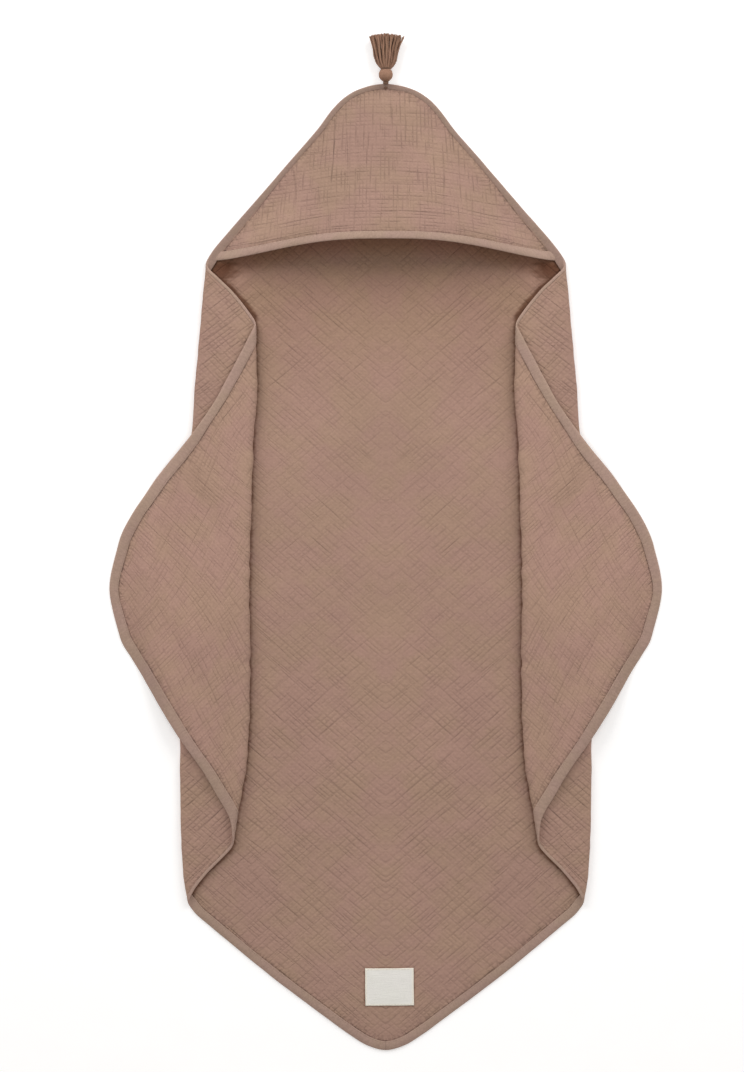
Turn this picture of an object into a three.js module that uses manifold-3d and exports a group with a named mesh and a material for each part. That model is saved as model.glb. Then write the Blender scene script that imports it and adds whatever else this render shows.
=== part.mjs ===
// A hooded baby bath towel of crinkled cotton muslin, laid out on a flat surface.
//
// The towel is one square of muslin with rounded corners, lying corner up. Its left and right corners are each folded
// in over the middle and out again, a Z fold, so every row across the towel is one strip of cloth in up to three
// layers. A three-cornered piece sewn over the top corner makes the hood, whose free edge bows up. One tape binds the
// towel all round and another binds the hood's free edge. A tassel is sewn to the hood's tip, and a small blank label
// lies near the corner at the other end.
//
// Millimetres. X runs across the towel, Y along it towards the tassel, Z up from the surface that it lies on.
// "Up" below is a distance from the towel's lower tip, "across" one from its middle line, along the cloth.

import * as THREE from "three";
import { mergeVertices } from "three/addons/utils/BufferGeometryUtils.js";
import Module from "manifold-3d";

const wasm = await Module();
wasm.setup();

// The cloth
const CLOTH = 2; // thickness of the crinkled muslin
const FOLD_RADIUS = 2.6; // from a fold's axis to the middle of the cloth that turns round it
const SEAM_GAP = 0.3; // between pieces that are sewn together
const BINDING_GAP = 0.4; // between the towel panel and its binding, which turn round the folds side by side
const TAPE_WIDTH = 9;
const TAPE_PROUD = 1; // the tape stands this far above the muslin's right side
const TAPE_ROUND = 1.2; // the width over which its folded edge rounds off
const THICK_END = 8; // where the tape falls from two layers of muslin beside the hood to one layer

// The Z folds
const DROP_START = 3; // a flap starts down to the surface this far outside the fold that it lies over
const DROP_LENGTH = 28;

// The hood
const MOUTH_UP = 812.7; // where the two ends of the hood's free edge meet the towel's edge
const MOUTH_CROWN = 38; // how high the middle of the free edge stands above its ends
const MOUTH_ARCH = 20; // how far that middle lies nearer to the tip than its ends
const CROWN_RISE = 0.85; // the power of the distance from the tip with which the hood rises
const ARCH_RISE = 1.5; // and the one with which its cloth is drawn towards the tip
const CROWN_BELL = 1.4; // the power of the distance from the middle with which both fall to the sides
const HOOD_COLUMNS = 24;

// The label
const LABEL = { width: 50, height: 38.5, thickness: 0.5, corner: 1, across: 3.8, up: 65.2, tilt: 0.012 };

// The tassel, whose axis lies level. Its shank meets the binding at the hood's tip.
const TASSEL = {
  headRadius: 7.1,
  headUp: 1003.7, // the middle of the head
  headLift: 0.15, // under the head
  shankRadius: 2.4,
  shankLength: 5,
  shankHeight: 2.7, // from the surface to the shank's middle
  skirtUp: 1007.5, // the strands' roots, inside the head
  skirtLength: 41.3,
  strands: 40,
  strandSide: 1.4,
  bendLoss: 4, // how much less far the outermost strands reach than the middle ones
  uneven: 0.8,
  sway: 0.5,
};

// Half of the skirt's width and of its height, at even steps from the strands' roots to their ends.
const SKIRT = table(["width", "height"], [
  [4.4, 4.4],
  [10.2, 5.3],
  [13.6, 5.5],
  [15.8, 5.5],
  [18.6, 5.5],
]);

// How far the two folds lie from the middle line on the plan. Between 600 and 330 the flap hides the outer one.
const FOLDS = table(["up", "outer", "inner"], [
  [813, 185.2, 133.4],
  [743, 191.1, 133.3],
  [681, 196.7, 132.4],
  [629, 200.9, 135.7],
  [554, 222.5, 138.4],
  [473, 238.0, 140.1],
  [404, 228.7, 139.6],
  [326, 212.7, 140.6],
  [279, 211.7, 145.2],
  [219, 210.6, 155.5],
  [171, 207.5, 155.5],
  [150, 203.4, 155.5],
]);

// How far the bound edge lies from the middle line on the plan, and on which layer: 1 lies on the surface, 2 is
// turned back over it at the outer fold, 3 is turned out again at the inner fold.
const EDGE = table(["up", "layer", "edge"], [
  [995, 1, 0],
  [989.5, 1, 27.3],
  [981, 1, 42.4],
  [969, 1, 54.6],
  [948, 1, 70.4],
  [917, 1, 97.4],
  [876, 1, 132.6],
  [825, 1, 176.6],
  [806, 2, 183],
  [794, 2, 171],
  [782, 2, 158.5],
  [757, 2, 138.5],
  [722, 3, 147],
  [687, 3, 165.5],
  [636, 3, 198],
  [584, 3, 239.6],
  [554, 3, 260],
  [519, 3, 276],
  [473, 3, 284.4],
  [426, 3, 274],
  [404, 3, 262],
  [364, 3, 238.5],
  [321, 3, 211.6],
  [267, 3, 176],
  [238, 3, 160],
  [211, 2, 157],
  [182, 2, 184],
  [160, 2, 200],
  [148, 2, 206],
  [140, 1, 195.2],
  [125, 1, 177.5],
  [78, 1, 120.5],
  [32, 1, 59.5],
  [15, 1, 36],
  [4.5, 1, 18],
  [0, 1, 0],
]);

// How finely the cloth is faceted
const STATIONS_A_SPAN = 2; // sections of the binding between two rows of the edge table
const STATION_SPACING = 1.6; // the least distance between two sections
const SEARCH_STEPS = 240;
const TURN_FACETS = 8; // round each half turn of cloth
const DROP_FACETS = 4;
const ROW_SPACING = 36; // between the points along a crease

function table(columns, rows) {
  return rows.map((row) => Object.fromEntries(columns.map((name, i) => [name, row[i]])));
}

// A column of a table at any height up the towel, on a smooth curve through its rows.
function column(rows, name, up) {
  const last = rows.length - 1;
  if (up >= rows[0].up) return rows[0][name];
  if (up <= rows[last].up) return rows[last][name];
  const i = rows.findIndex((row) => row.up < up) - 1;
  const slope = (a, b) => (rows[b][name] - rows[a][name]) / (rows[b].up - rows[a].up);
  const span = rows[i + 1].up - rows[i].up;
  const from = slope(Math.max(i - 1, 0), i + 1) * span;
  const to = slope(i, Math.min(i + 2, last)) * span;
  const t = (up - rows[i].up) / span;
  return (
    rows[i][name] * (1 + 2 * t) * (1 - t) ** 2 +
    rows[i + 1][name] * (3 - 2 * t) * t ** 2 +
    from * t * (1 - t) ** 2 -
    to * t ** 2 * (1 - t)
  );
}

const HALF_TURN = Math.PI * FOLD_RADIUS;

// Where a row's cloth turns: distances on the plan, and distances along the cloth from the middle line.
function turns(up) {
  const outer = column(FOLDS, "outer", up);
  const outerAxis = outer - CLOTH / 2 - FOLD_RADIUS;
  const innerAxis = column(FOLDS, "inner", up) + CLOTH / 2 + FOLD_RADIUS;
  const backStart = outerAxis + HALF_TURN;
  const backEnd = backStart + outerAxis - innerAxis;
  const flapStart = backEnd + HALF_TURN;
  return { outerAxis, innerAxis, backStart, backEnd, flapStart, dropStart: flapStart + outer + DROP_START - innerAxis };
}

// The length of cloth from the middle line to the bound edge in a row of the edge table.
function clothReach({ up, layer, edge }) {
  const { outerAxis, innerAxis, backStart, flapStart } = turns(up);
  if (layer === 1) return edge;
  if (layer === 2) return backStart + outerAxis - edge;
  return flapStart + edge - innerAxis;
}

const smoothstep = (t) => THREE.MathUtils.smoothstep(t, 0, 1);
const lerp = THREE.MathUtils.lerp;

// The middle of the towel's cloth, at a distance across and a height up its flat cut.
function towelSurface(across, up) {
  const s = Math.abs(across);
  const side = across < 0 ? -1 : 1;
  const { outerAxis, innerAxis, backStart, backEnd, flapStart, dropStart } = turns(up);
  const ground = CLOTH / 2;
  const point = (x, z) => new THREE.Vector3(side * x, up, z);
  if (s <= outerAxis) return point(s, ground);
  if (s <= backStart) {
    const angle = (s - outerAxis) / FOLD_RADIUS;
    return point(outerAxis + FOLD_RADIUS * Math.sin(angle), ground + FOLD_RADIUS * (1 - Math.cos(angle)));
  }
  if (s <= backEnd) return point(outerAxis - (s - backStart), ground + 2 * FOLD_RADIUS);
  if (s <= flapStart) {
    const angle = (s - backEnd) / FOLD_RADIUS;
    return point(innerAxis - FOLD_RADIUS * Math.sin(angle), ground + FOLD_RADIUS * (3 - Math.cos(angle)));
  }
  const dropped = smoothstep((s - dropStart) / DROP_LENGTH);
  return point(innerAxis + (s - flapStart), ground + 4 * FOLD_RADIUS * (1 - dropped));
}

const NORMAL_STEP = 1e-3;

// The point of a surface that lies off it by a distance, on the right side of the cloth.
function offset(surface, a, b, distance) {
  const alongA = surface(a + NORMAL_STEP, b).sub(surface(a - NORMAL_STEP, b));
  const alongB = surface(a, b + NORMAL_STEP).sub(surface(a, b - NORMAL_STEP));
  const normal = alongA.cross(alongB);
  if (normal.length() < NORMAL_STEP ** 3) normal.set(0, 0, 1);
  return surface(a, b).addScaledVector(normal.normalize(), distance);
}

// The lines along which the panel is faceted where it turns, as distances along the cloth in any row.
const shares = (parts) => Array.from({ length: parts + 1 }, (_, k) => k / parts);
const CREASES = [
  ...shares(TURN_FACETS).map((share) => ({ outerAxis, backStart }) => lerp(outerAxis, backStart, share)),
  ...shares(TURN_FACETS).map((share) => ({ backEnd, flapStart }) => lerp(backEnd, flapStart, share)),
  ...shares(DROP_FACETS).map((share) => ({ dropStart }) => dropStart + share * DROP_LENGTH),
];

// The cut's edge as a closed curve, whose first half runs down the right side from the top corner to the lower tip.
const rightEdge = EDGE.map((row) => new THREE.Vector3(clothReach(row), row.up, 0));
const leftEdge = rightEdge.slice(1, -1).reverse().map((p) => new THREE.Vector3(-p.x, p.y, 0));
const cutEdge = new THREE.CatmullRomCurve3([...rightEdge, ...leftEdge], true, "centripetal");

// A place on the right side: the binding's folded edge, and where the panel ends inside the binding. The edge runs
// level through the top corner.
function station(t) {
  const tape = cutEdge.getPoint(t);
  const tangent = t === 0 ? new THREE.Vector3(1, 0, 0) : cutEdge.getTangent(t);
  const inward = new THREE.Vector3(tangent.y, -tangent.x, 0).normalize();
  return { t, tape, inward, panel: tape.clone().addScaledVector(inward, TAPE_WIDTH + BINDING_GAP) };
}

// The stations where the panel's or the tape's edge passes a crease, from the top down: one above the towel's widest
// row and one below it.
function crossings(line, crease) {
  const isBeyond = (t) => station(t)[line].x > crease(turns(station(t)[line].y));
  const found = [];
  for (let i = 0; i < SEARCH_STEPS; i++) {
    let from = (0.5 * i) / SEARCH_STEPS;
    let to = (0.5 * (i + 1)) / SEARCH_STEPS;
    if (isBeyond(from) === isBeyond(to)) continue;
    for (let halving = 0; halving < 20; halving++) {
      const middle = (from + to) / 2;
      if (isBeyond(middle) === isBeyond(from)) from = middle;
      else to = middle;
    }
    found.push(station(to));
  }
  return found;
}

const creaseEnds = CREASES.map((crease) => crossings("panel", crease));
const evenStations = Array.from({ length: (EDGE.length - 1) * STATIONS_A_SPAN + 1 }, (_, i) =>
  station((0.5 * i) / ((EDGE.length - 1) * STATIONS_A_SPAN)),
);
const stations = creaseEnds.flat();
for (const extra of [...CREASES.flatMap((crease) => crossings("tape", crease)), ...evenStations])
  if (stations.every(({ tape }) => tape.distanceTo(extra.tape) > STATION_SPACING)) stations.push(extra);
stations.sort((a, b) => a.t - b.t);

// The towel panel's half width, inside its binding, at a height up the towel.
function panelReach(up) {
  const i = THREE.MathUtils.clamp(stations.findIndex(({ panel }) => panel.y < up), 1, stations.length - 1);
  const [a, b] = [stations[i - 1].panel, stations[i].panel];
  return lerp(a.x, b.x, THREE.MathUtils.clamp((a.y - up) / (a.y - b.y), 0, 1));
}

// A closed surface from triangles, with corners that meet welded and triangles that shrink to a line left out.
function weld(triangles) {
  const welded = mergeVertices(new THREE.BufferGeometry().setFromPoints(triangles.flat()), 1e-3);
  const corners = Array.from(welded.index.array);
  const kept = [];
  for (let f = 0; f < corners.length; f += 3) {
    const [a, b, c] = corners.slice(f, f + 3);
    if (a !== b && b !== c && c !== a) kept.push(a, b, c);
  }
  return welded.setIndex(kept);
}

const quad = (a, b, c, d) => [[a, b, c], [a, c, d]];

// A closed surface through sections, each a closed loop of as many points. An open row of sections gets an end at each
// side, which joins each point to its opposite one.
function loft(sections, closed = false) {
  const size = sections[0].length;
  const triangles = [];
  const spans = closed ? sections.length : sections.length - 1;
  for (let i = 0; i < spans; i++) {
    const [from, to] = [sections[i], sections[(i + 1) % sections.length]];
    for (let k = 0; k < size; k++) {
      const next = (k + 1) % size;
      triangles.push(...quad(from[k], to[k], to[next], from[next]));
    }
  }
  if (!closed) {
    const [first, last] = [sections[0], sections.at(-1)];
    for (let k = 0; k < size / 2 - 1; k++) {
      const [m, n] = [size - 1 - k, size - 2 - k];
      triangles.push(...quad(first[k], first[k + 1], first[n], first[m]));
      triangles.push(...quad(last[k], last[m], last[n], last[k + 1]));
    }
  }
  return weld(triangles);
}

// Triangles between two chains of points that climb side by side and share both ends.
function zip(left, right) {
  const triangles = [];
  let [i, j] = [0, 0];
  while (i < left.length - 1 || j < right.length - 1) {
    const leftIsNext = j === right.length - 1 || (i < left.length - 1 && left[i + 1].y < right[j + 1].y);
    triangles.push([left[i], right[j], leftIsNext ? left[i + 1] : right[j + 1]]);
    if (leftIsNext) i++;
    else j++;
  }
  return triangles;
}

// The panel is cut out flat, in strips between its creases, and laid out fold by fold.
function towelPanel() {
  const edge = stations.map(({ panel }) => panel).reverse();
  const edgeBetween = (from, to) => edge.slice(edge.indexOf(from), edge.indexOf(to) + 1);
  const chains = CREASES.map((crease, k) => {
    const [top, bottom] = creaseEnds[k].map(({ panel }) => panel);
    const rows = Math.round((top.y - bottom.y) / ROW_SPACING);
    const inner = Array.from({ length: rows - 1 }, (_, i) => {
      const up = lerp(bottom.y, top.y, (i + 1) / rows);
      return new THREE.Vector3(crease(turns(up)), up, 0);
    });
    return [bottom, ...inner, top];
  });
  const outwards = (chain, from, to) => [...edgeBetween(from, chain[0]), ...chain, ...edgeBetween(chain.at(-1), to)];
  const mirrored = (points) => points.map((p) => new THREE.Vector3(-p.x, p.y, 0));
  const strips = chains.flatMap((chain, k) => {
    const [bottom, top] = [chain[0], chain.at(-1)];
    const next = chains[k + 1];
    return zip(chain, next ? outwards(next, bottom, top) : edgeBetween(bottom, top));
  });
  const half = outwards(chains[0], edge[0], edge.at(-1));
  const flat = [...zip(mirrored(half), half), ...strips, ...strips.map((triangle) => mirrored(triangle).reverse())];
  const rim = [...edge, ...mirrored(edge.slice(1, -1)).reverse()];

  const right = (p) => offset(towelSurface, p.x, p.y, CLOTH / 2);
  const wrong = (p) => offset(towelSurface, p.x, p.y, -CLOTH / 2);
  return weld([
    ...flat.map((triangle) => triangle.map(right)),
    ...flat.map((triangle) => triangle.map(wrong).reverse()),
    ...rim.flatMap((p, i) => {
      const next = rim[(i + 1) % rim.length];
      return quad(right(p), wrong(p), wrong(next), right(next));
    }),
  ]);
}

// A binding's section: distances in from its folded edge, and heights off the middle of the cloth that it binds.
function tapeProfile(top) {
  const under = -CLOTH / 2;
  const half = [
    [TAPE_WIDTH, 1],
    [TAPE_WIDTH / 2, 1],
    [TAPE_ROUND, 1],
    [TAPE_ROUND / 4, 0.75],
    [0, 0.5],
  ];
  const lower = half.slice(0, -1).reverse().map(([inward, share]) => [inward, 1 - share]);
  return [...half, ...lower].map(([inward, share]) => ({ inward, height: lerp(under, top, share) }));
}

const TAPE_TOP = CLOTH / 2 + TAPE_PROUD;
const SEAM_HEIGHT = CLOTH + SEAM_GAP + CLOTH / 2; // the middle of the hood's cloth where it is sewn down
const HOOD_TAPE_TOP = SEAM_HEIGHT + TAPE_TOP - CLOTH / 2;

// Beside the hood the binding holds two layers of muslin.
const bindingTop = ({ panel }) => lerp(HOOD_TAPE_TOP, TAPE_TOP, smoothstep((MOUTH_UP - panel.y) / THICK_END));

function edgeBinding() {
  const section = (station, side) =>
    tapeProfile(bindingTop(station)).map(({ inward, height }) => {
      const at = station.tape.clone().addScaledVector(station.inward, inward);
      return offset(towelSurface, side * at.x, at.y, height);
    });
  const right = stations.map((station) => section(station, 1));
  const left = stations.slice(1, -1).reverse().map((station) => section(station, -1));
  return loft([...right, ...left], true);
}

// A bell of height 1 over the width from -1 to 1.
const bell = (share) => (1 + Math.cos(Math.PI * Math.min(Math.abs(share), 1) ** CROWN_BELL)) / 2;

const HOOD_TOP = stations[0].panel.y;
const HOOD_SHARES = shares(HOOD_COLUMNS).map((share) => 2 * share - 1);

// The middle of the hood's cloth: share runs from -1 to 1 between its two sewn sides, up is where those sides are.
function hoodSurface(share, up) {
  const opened = Math.max((HOOD_TOP - up) / (HOOD_TOP - MOUTH_UP), 0);
  return new THREE.Vector3(
    share * panelReach(up),
    up + MOUTH_ARCH * opened ** ARCH_RISE * bell(share),
    SEAM_HEIGHT + MOUTH_CROWN * opened ** CROWN_RISE * bell(share),
  );
}

function hoodPanel() {
  const lowest = MOUTH_UP + TAPE_WIDTH + SEAM_GAP;
  const heights = stations.map(({ panel }) => panel.y).filter((up) => up > lowest + STATION_SPACING);
  const sections = [...heights, lowest].map((up) => {
    const face = (side) => HOOD_SHARES.map((share) => offset(hoodSurface, share, up, (side * CLOTH) / 2));
    return [...face(1), ...face(-1).reverse()];
  });
  return loft(sections);
}

function hoodBinding() {
  const profile = tapeProfile(TAPE_TOP).reverse();
  const section = (share) => profile.map(({ inward, height }) => offset(hoodSurface, share, MOUTH_UP + inward, height));
  return loft(HOOD_SHARES.map(section));
}

function label() {
  const { width, height, thickness, corner } = LABEL;
  const [x, y] = [width / 2, height / 2];
  const shape = new THREE.Shape();
  shape.moveTo(corner - x, -y).lineTo(x - corner, -y).absarc(x - corner, corner - y, corner, -Math.PI / 2, 0);
  shape.lineTo(x, y - corner).absarc(x - corner, y - corner, corner, 0, Math.PI / 2);
  shape.lineTo(corner - x, y).absarc(corner - x, y - corner, corner, Math.PI / 2, Math.PI);
  shape.lineTo(-x, corner - y).absarc(corner - x, corner - y, corner, Math.PI, 1.5 * Math.PI);
  return new THREE.ExtrudeGeometry(shape, { depth: thickness, bevelEnabled: false, curveSegments: 3 });
}

function solidOf(geometry) {
  const bare = geometry.clone();
  bare.deleteAttribute("normal");
  bare.deleteAttribute("uv");
  const welded = mergeVertices(bare, 1e-3);
  return new wasm.Manifold(
    new wasm.Mesh({
      numProp: 3,
      vertProperties: welded.attributes.position.array,
      triVerts: new Uint32Array(welded.index.array),
    }),
  );
}

function geometryOf(solid) {
  const mesh = solid.getMesh();
  return new THREE.BufferGeometry()
    .setAttribute("position", new THREE.BufferAttribute(mesh.vertProperties, 3))
    .setIndex(new THREE.BufferAttribute(mesh.triVerts, 1));
}

// A strand's line from its root in the head: the strands fill the skirt evenly, on a spiral of golden angles, and the
// outer ones are shorter, because they bend further. Here Y runs along the tassel from the strands' roots.
function strandLine(i) {
  const { strands, skirtLength, bendLoss, uneven } = TASSEL;
  const spread = Math.sqrt((i + 0.5) / strands);
  const angle = i * Math.PI * (3 - Math.sqrt(5));
  const length = skirtLength - bendLoss * spread ** 2 - uneven * (1 + Math.sin(5 * i));
  const points = SKIRT.map(({ width, height }, k) => {
    const along = k / (SKIRT.length - 1);
    const sway = TASSEL.sway * Math.sin(3 * i + 2 * k) * along;
    return new THREE.Vector3(
      width * spread * Math.cos(angle) + sway,
      length * along,
      height * spread * Math.sin(angle),
    );
  });
  return new THREE.CatmullRomCurve3(points);
}

function strand(i) {
  const h = TASSEL.strandSide / 2;
  const corners = [[-h, -h], [h, -h], [h, h], [-h, h]].map(([x, y]) => new THREE.Vector2(x, y));
  return new THREE.ExtrudeGeometry(new THREE.Shape(corners), { steps: 6, extrudePath: strandLine(i) });
}

// The wrapped head with its strands, and the shank by which it is sewn to the towel.
function tassel() {
  const { headRadius, headUp, headLift, shankRadius, shankLength, shankHeight, skirtUp } = TASSEL;
  const profile = Array.from({ length: 9 }, (_, k) => {
    const angle = Math.PI * (k / 8 - 0.5);
    return new THREE.Vector2(k % 8 ? headRadius * Math.cos(angle) : 0, headRadius * Math.sin(angle));
  });
  const head = new THREE.LatheGeometry(profile, 14).translate(0, headUp, headRadius + headLift);
  const shank = new THREE.CylinderGeometry(shankRadius, shankRadius, shankLength, 10);
  shank.translate(0, EDGE[0].up + SEAM_GAP + shankLength / 2, shankHeight);
  let solid = solidOf(head).add(solidOf(shank));
  for (let i = 0; i < TASSEL.strands; i++)
    solid = solid.add(solidOf(strand(i).translate(0, skirtUp, headRadius + headLift)));
  return geometryOf(solid);
}

const cloth = (color) => new THREE.MeshStandardMaterial({ color, roughness: 0.95, metalness: 0 });
const muslin = cloth(0xa88776);
const tape = cloth(0xa98c80);
const yarn = cloth(0x97786a);
const cotton = cloth(0xe4dfd6);

function part(name, geometry, material) {
  const mesh = new THREE.Mesh(geometry, material);
  mesh.name = name;
  return mesh;
}

const labelMesh = part("label", label(), cotton);
labelMesh.position.set(LABEL.across, LABEL.up, CLOTH + SEAM_GAP);
labelMesh.rotation.z = LABEL.tilt;

const towel = new THREE.Group();
towel.add(
  part("towel_panel", towelPanel(), muslin),
  part("hood_panel", hoodPanel(), muslin),
  part("edge_binding", edgeBinding(), tape),
  part("hood_binding", hoodBinding(), tape),
  labelMesh,
  part("tassel", tassel(), yarn),
);

// The origin is under the middle of the whole length, tassel and all.
const laid = new THREE.Group();
towel.position.y = -(TASSEL.skirtUp + TASSEL.skirtLength) / 2;
laid.add(towel);

export default laid;
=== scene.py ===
import bisect
import functools
import math
import random

import bmesh
import bpy
from mathutils import Matrix, Vector, noise
from mathutils.kdtree import KDTree


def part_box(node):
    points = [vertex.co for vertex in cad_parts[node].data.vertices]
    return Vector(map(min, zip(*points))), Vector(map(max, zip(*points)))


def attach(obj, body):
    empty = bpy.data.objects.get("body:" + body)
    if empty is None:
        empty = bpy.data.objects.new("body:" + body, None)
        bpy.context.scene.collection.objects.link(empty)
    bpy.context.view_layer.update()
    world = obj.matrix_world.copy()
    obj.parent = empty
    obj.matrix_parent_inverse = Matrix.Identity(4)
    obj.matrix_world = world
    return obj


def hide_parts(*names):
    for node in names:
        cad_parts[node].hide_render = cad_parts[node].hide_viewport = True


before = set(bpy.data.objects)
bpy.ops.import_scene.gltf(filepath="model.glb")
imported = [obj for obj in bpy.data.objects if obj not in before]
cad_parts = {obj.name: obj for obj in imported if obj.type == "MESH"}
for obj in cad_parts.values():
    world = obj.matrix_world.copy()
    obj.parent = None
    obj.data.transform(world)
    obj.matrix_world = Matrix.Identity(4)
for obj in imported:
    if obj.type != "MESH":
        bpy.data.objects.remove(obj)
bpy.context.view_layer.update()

bl_info = {
    "name": "Hooded Baby Towel",
    "version": (1, 0, 0),
    "blender": (4, 5, 0),
    "location": "3D View > Sidebar > Towel",
    "description": "A hooded muslin baby towel, laid out corner up with its sides folded in and out again",
    "category": "Add Mesh",
}

# Metres. "Up" is a distance from the towel's lower tip, "across" one from its middle line along the cloth,
# and "plan" one from the middle line as seen from above.

TIP_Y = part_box("edge_binding")[0][1]

# The folded cloth, as the solids have it
CLOTH = 0.002
FOLD_RADIUS = 0.0026
HALF_TURN = math.pi * FOLD_RADIUS
DROP_START = 0.003
DROP_LENGTH = 0.028

# The hood, as the solids have it
MOUTH_UP = 0.8127
MOUTH_CROWN = 0.038
MOUTH_ARCH = 0.020
CROWN_RISE = 0.85
ARCH_RISE = 1.5
CROWN_BELL = 1.4

# How the hood's mouth gapes beside its two corners
CORNER_LIFT = 0.0088
CORNER_START = 0.0100
CORNER_PEAK = 0.034
CORNER_END = 0.110
CORNER_DEPTH = 0.060

# How far below its tip the hood is held flat by the tape, and over what length it then rises
TIP_HELD = 0.0042
TIP_RISE = 0.016

# The hood puffs over part of the edge's tape: what share of its width still shows at the tip, and from what
# height and over what length it narrows
SHOWN_AT_TIP = 0.6
PUFF_START = 0.835
PUFF_LENGTH = 0.075

# Inside the tape: how far from its folded edge each piece of muslin ends, and how the layers lie pressed
PANEL_INSET = 0.0016
HOOD_INSET = 0.0022
PRESSED = 0.5
PRESSED_WIDTH = 0.0096
PRESSED_FADE = 0.007
HOOD_HEIGHT = 0.0033
HOOD_SEWN_HEIGHT = 0.0022
HOOD_SEAM_START = 0.003
HOOD_SEAM_FADE = 0.014
HOOD_TAPE_LIFT = 0.0011
THICK_END = 0.010

# How finely the cloth is modelled
PANEL_PITCH = 0.0034
PANEL_FIRST_ROW = 0.0004
STATION_PITCH = 0.0016
LOOP_PIECES = 24
TURN_COLUMNS = 6
BASE_COLUMNS = 40
HIDDEN_COLUMNS = 11
BACK_COLUMNS = 10
FLAP_COLUMNS = 45
HOOD_COLUMNS = 168
HOOD_PITCH = 0.0026
HOOD_FIRST_ROW = 0.0006
ROW_GROWTH = 1.4
NORMAL_STEP = 1e-5

# How far the gauze's grain is drawn out across the towel
BASE_GRAIN = 0.86
FLAP_GRAIN = 1.3
MIDDLE_SOFT = 0.0012


def table(columns, rows):
    return [dict(zip(columns, row)) for row in rows]


# How far the two folds lie from the middle line on the plan.
FOLDS = table(("up", "outer", "inner"), (
    (0.813, 0.1852, 0.1334),
    (0.743, 0.1911, 0.1333),
    (0.681, 0.1967, 0.1324),
    (0.629, 0.2009, 0.1357),
    (0.554, 0.2225, 0.1384),
    (0.473, 0.2380, 0.1401),
    (0.404, 0.2287, 0.1396),
    (0.326, 0.2127, 0.1406),
    (0.279, 0.2117, 0.1452),
    (0.219, 0.2106, 0.1555),
    (0.171, 0.2075, 0.1555),
    (0.150, 0.2034, 0.1555),
))

# How far the bound edge lies from the middle line on the plan, and on which layer.
EDGE = table(("up", "layer", "edge"), (
    (0.995, 1, 0),
    (0.9895, 1, 0.0273),
    (0.981, 1, 0.0424),
    (0.969, 1, 0.0546),
    (0.948, 1, 0.0704),
    (0.917, 1, 0.0974),
    (0.876, 1, 0.1326),
    (0.825, 1, 0.1766),
    (0.806, 2, 0.183),
    (0.794, 2, 0.171),
    (0.782, 2, 0.1585),
    (0.757, 2, 0.1385),
    (0.722, 3, 0.147),
    (0.687, 3, 0.1655),
    (0.636, 3, 0.198),
    (0.584, 3, 0.2396),
    (0.554, 3, 0.260),
    (0.519, 3, 0.276),
    (0.473, 3, 0.2844),
    (0.426, 3, 0.274),
    (0.404, 3, 0.262),
    (0.364, 3, 0.2385),
    (0.321, 3, 0.2116),
    (0.267, 3, 0.176),
    (0.238, 3, 0.160),
    (0.211, 2, 0.157),
    (0.182, 2, 0.184),
    (0.160, 2, 0.200),
    (0.148, 2, 0.206),
    (0.140, 1, 0.1952),
    (0.125, 1, 0.1775),
    (0.078, 1, 0.1205),
    (0.032, 1, 0.0595),
    (0.015, 1, 0.036),
    (0.0045, 1, 0.018),
    (0, 1, 0),
))

# The main soft creases of the towel panel, given on the plan and the same on both sides: ridges are high,
# troughs negative.
CREASES = table(("layer", "plan_from", "up_from", "plan_to", "up_to", "width", "height"), (
    (3, 0.227, 0.628, 0.156, 0.505, 0.0075, -0.0009),
    (3, 0.214, 0.636, 0.150, 0.540, 0.0070, 0.0007),
    (3, 0.253, 0.566, 0.166, 0.412, 0.0100, -0.0008),
    (3, 0.262, 0.520, 0.182, 0.388, 0.0090, 0.0008),
    (3, 0.243, 0.463, 0.156, 0.319, 0.0110, -0.0010),
    (3, 0.262, 0.440, 0.190, 0.330, 0.0075, 0.0006),
    (3, 0.202, 0.361, 0.153, 0.258, 0.0065, -0.0009),
    (3, 0.150, 0.747, 0.183, 0.706, 0.0050, -0.0008),
    (3, 0.138, 0.716, 0.176, 0.670, 0.0060, 0.0008),
    (3, 0.139, 0.684, 0.191, 0.613, 0.0060, -0.0008),
    (3, 0.227, 0.587, 0.269, 0.505, 0.0080, 0.0006),
    (3, 0.145, 0.470, 0.200, 0.405, 0.0080, 0.0006),
    (2, 0.197, 0.165, 0.152, 0.206, 0.0045, -0.0011),
    (2, 0.202, 0.196, 0.158, 0.258, 0.0060, 0.0009),
    (2, 0.206, 0.237, 0.168, 0.288, 0.0050, -0.0009),
    (2, 0.186, 0.775, 0.160, 0.742, 0.0055, 0.0008),
    (2, 0.190, 0.728, 0.168, 0.694, 0.0050, -0.0008),
    (1, 0.118, 0.690, 0.040, 0.610, 0.0090, 0.0005),
    (1, 0.096, 0.500, 0.020, 0.440, 0.0110, 0.0004),
    (1, 0.124, 0.388, 0.034, 0.318, 0.0090, 0.0006),
    (1, 0.150, 0.196, 0.052, 0.120, 0.0080, 0.0005),
    (1, 0.126, 0.262, 0.060, 0.214, 0.0070, 0.0005),
    (1, 0.138, 0.813, 0.126, 0.794, 0.0026, 0.0011),
    (1, 0.125, 0.817, 0.109, 0.792, 0.0030, 0.0012),
    (1, 0.104, 0.822, 0.092, 0.800, 0.0030, 0.0009),
    (1, 0.156, 0.783, 0.136, 0.797, 0.0034, 0.0012),
    (1, 0.150, 0.771, 0.129, 0.784, 0.0034, 0.0011),
    (1, 0.142, 0.757, 0.122, 0.769, 0.0034, 0.0010),
))
LAYER_CREASES = {layer: [row for row in CREASES if row["layer"] == layer] for layer in (1, 2, 3)}

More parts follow.
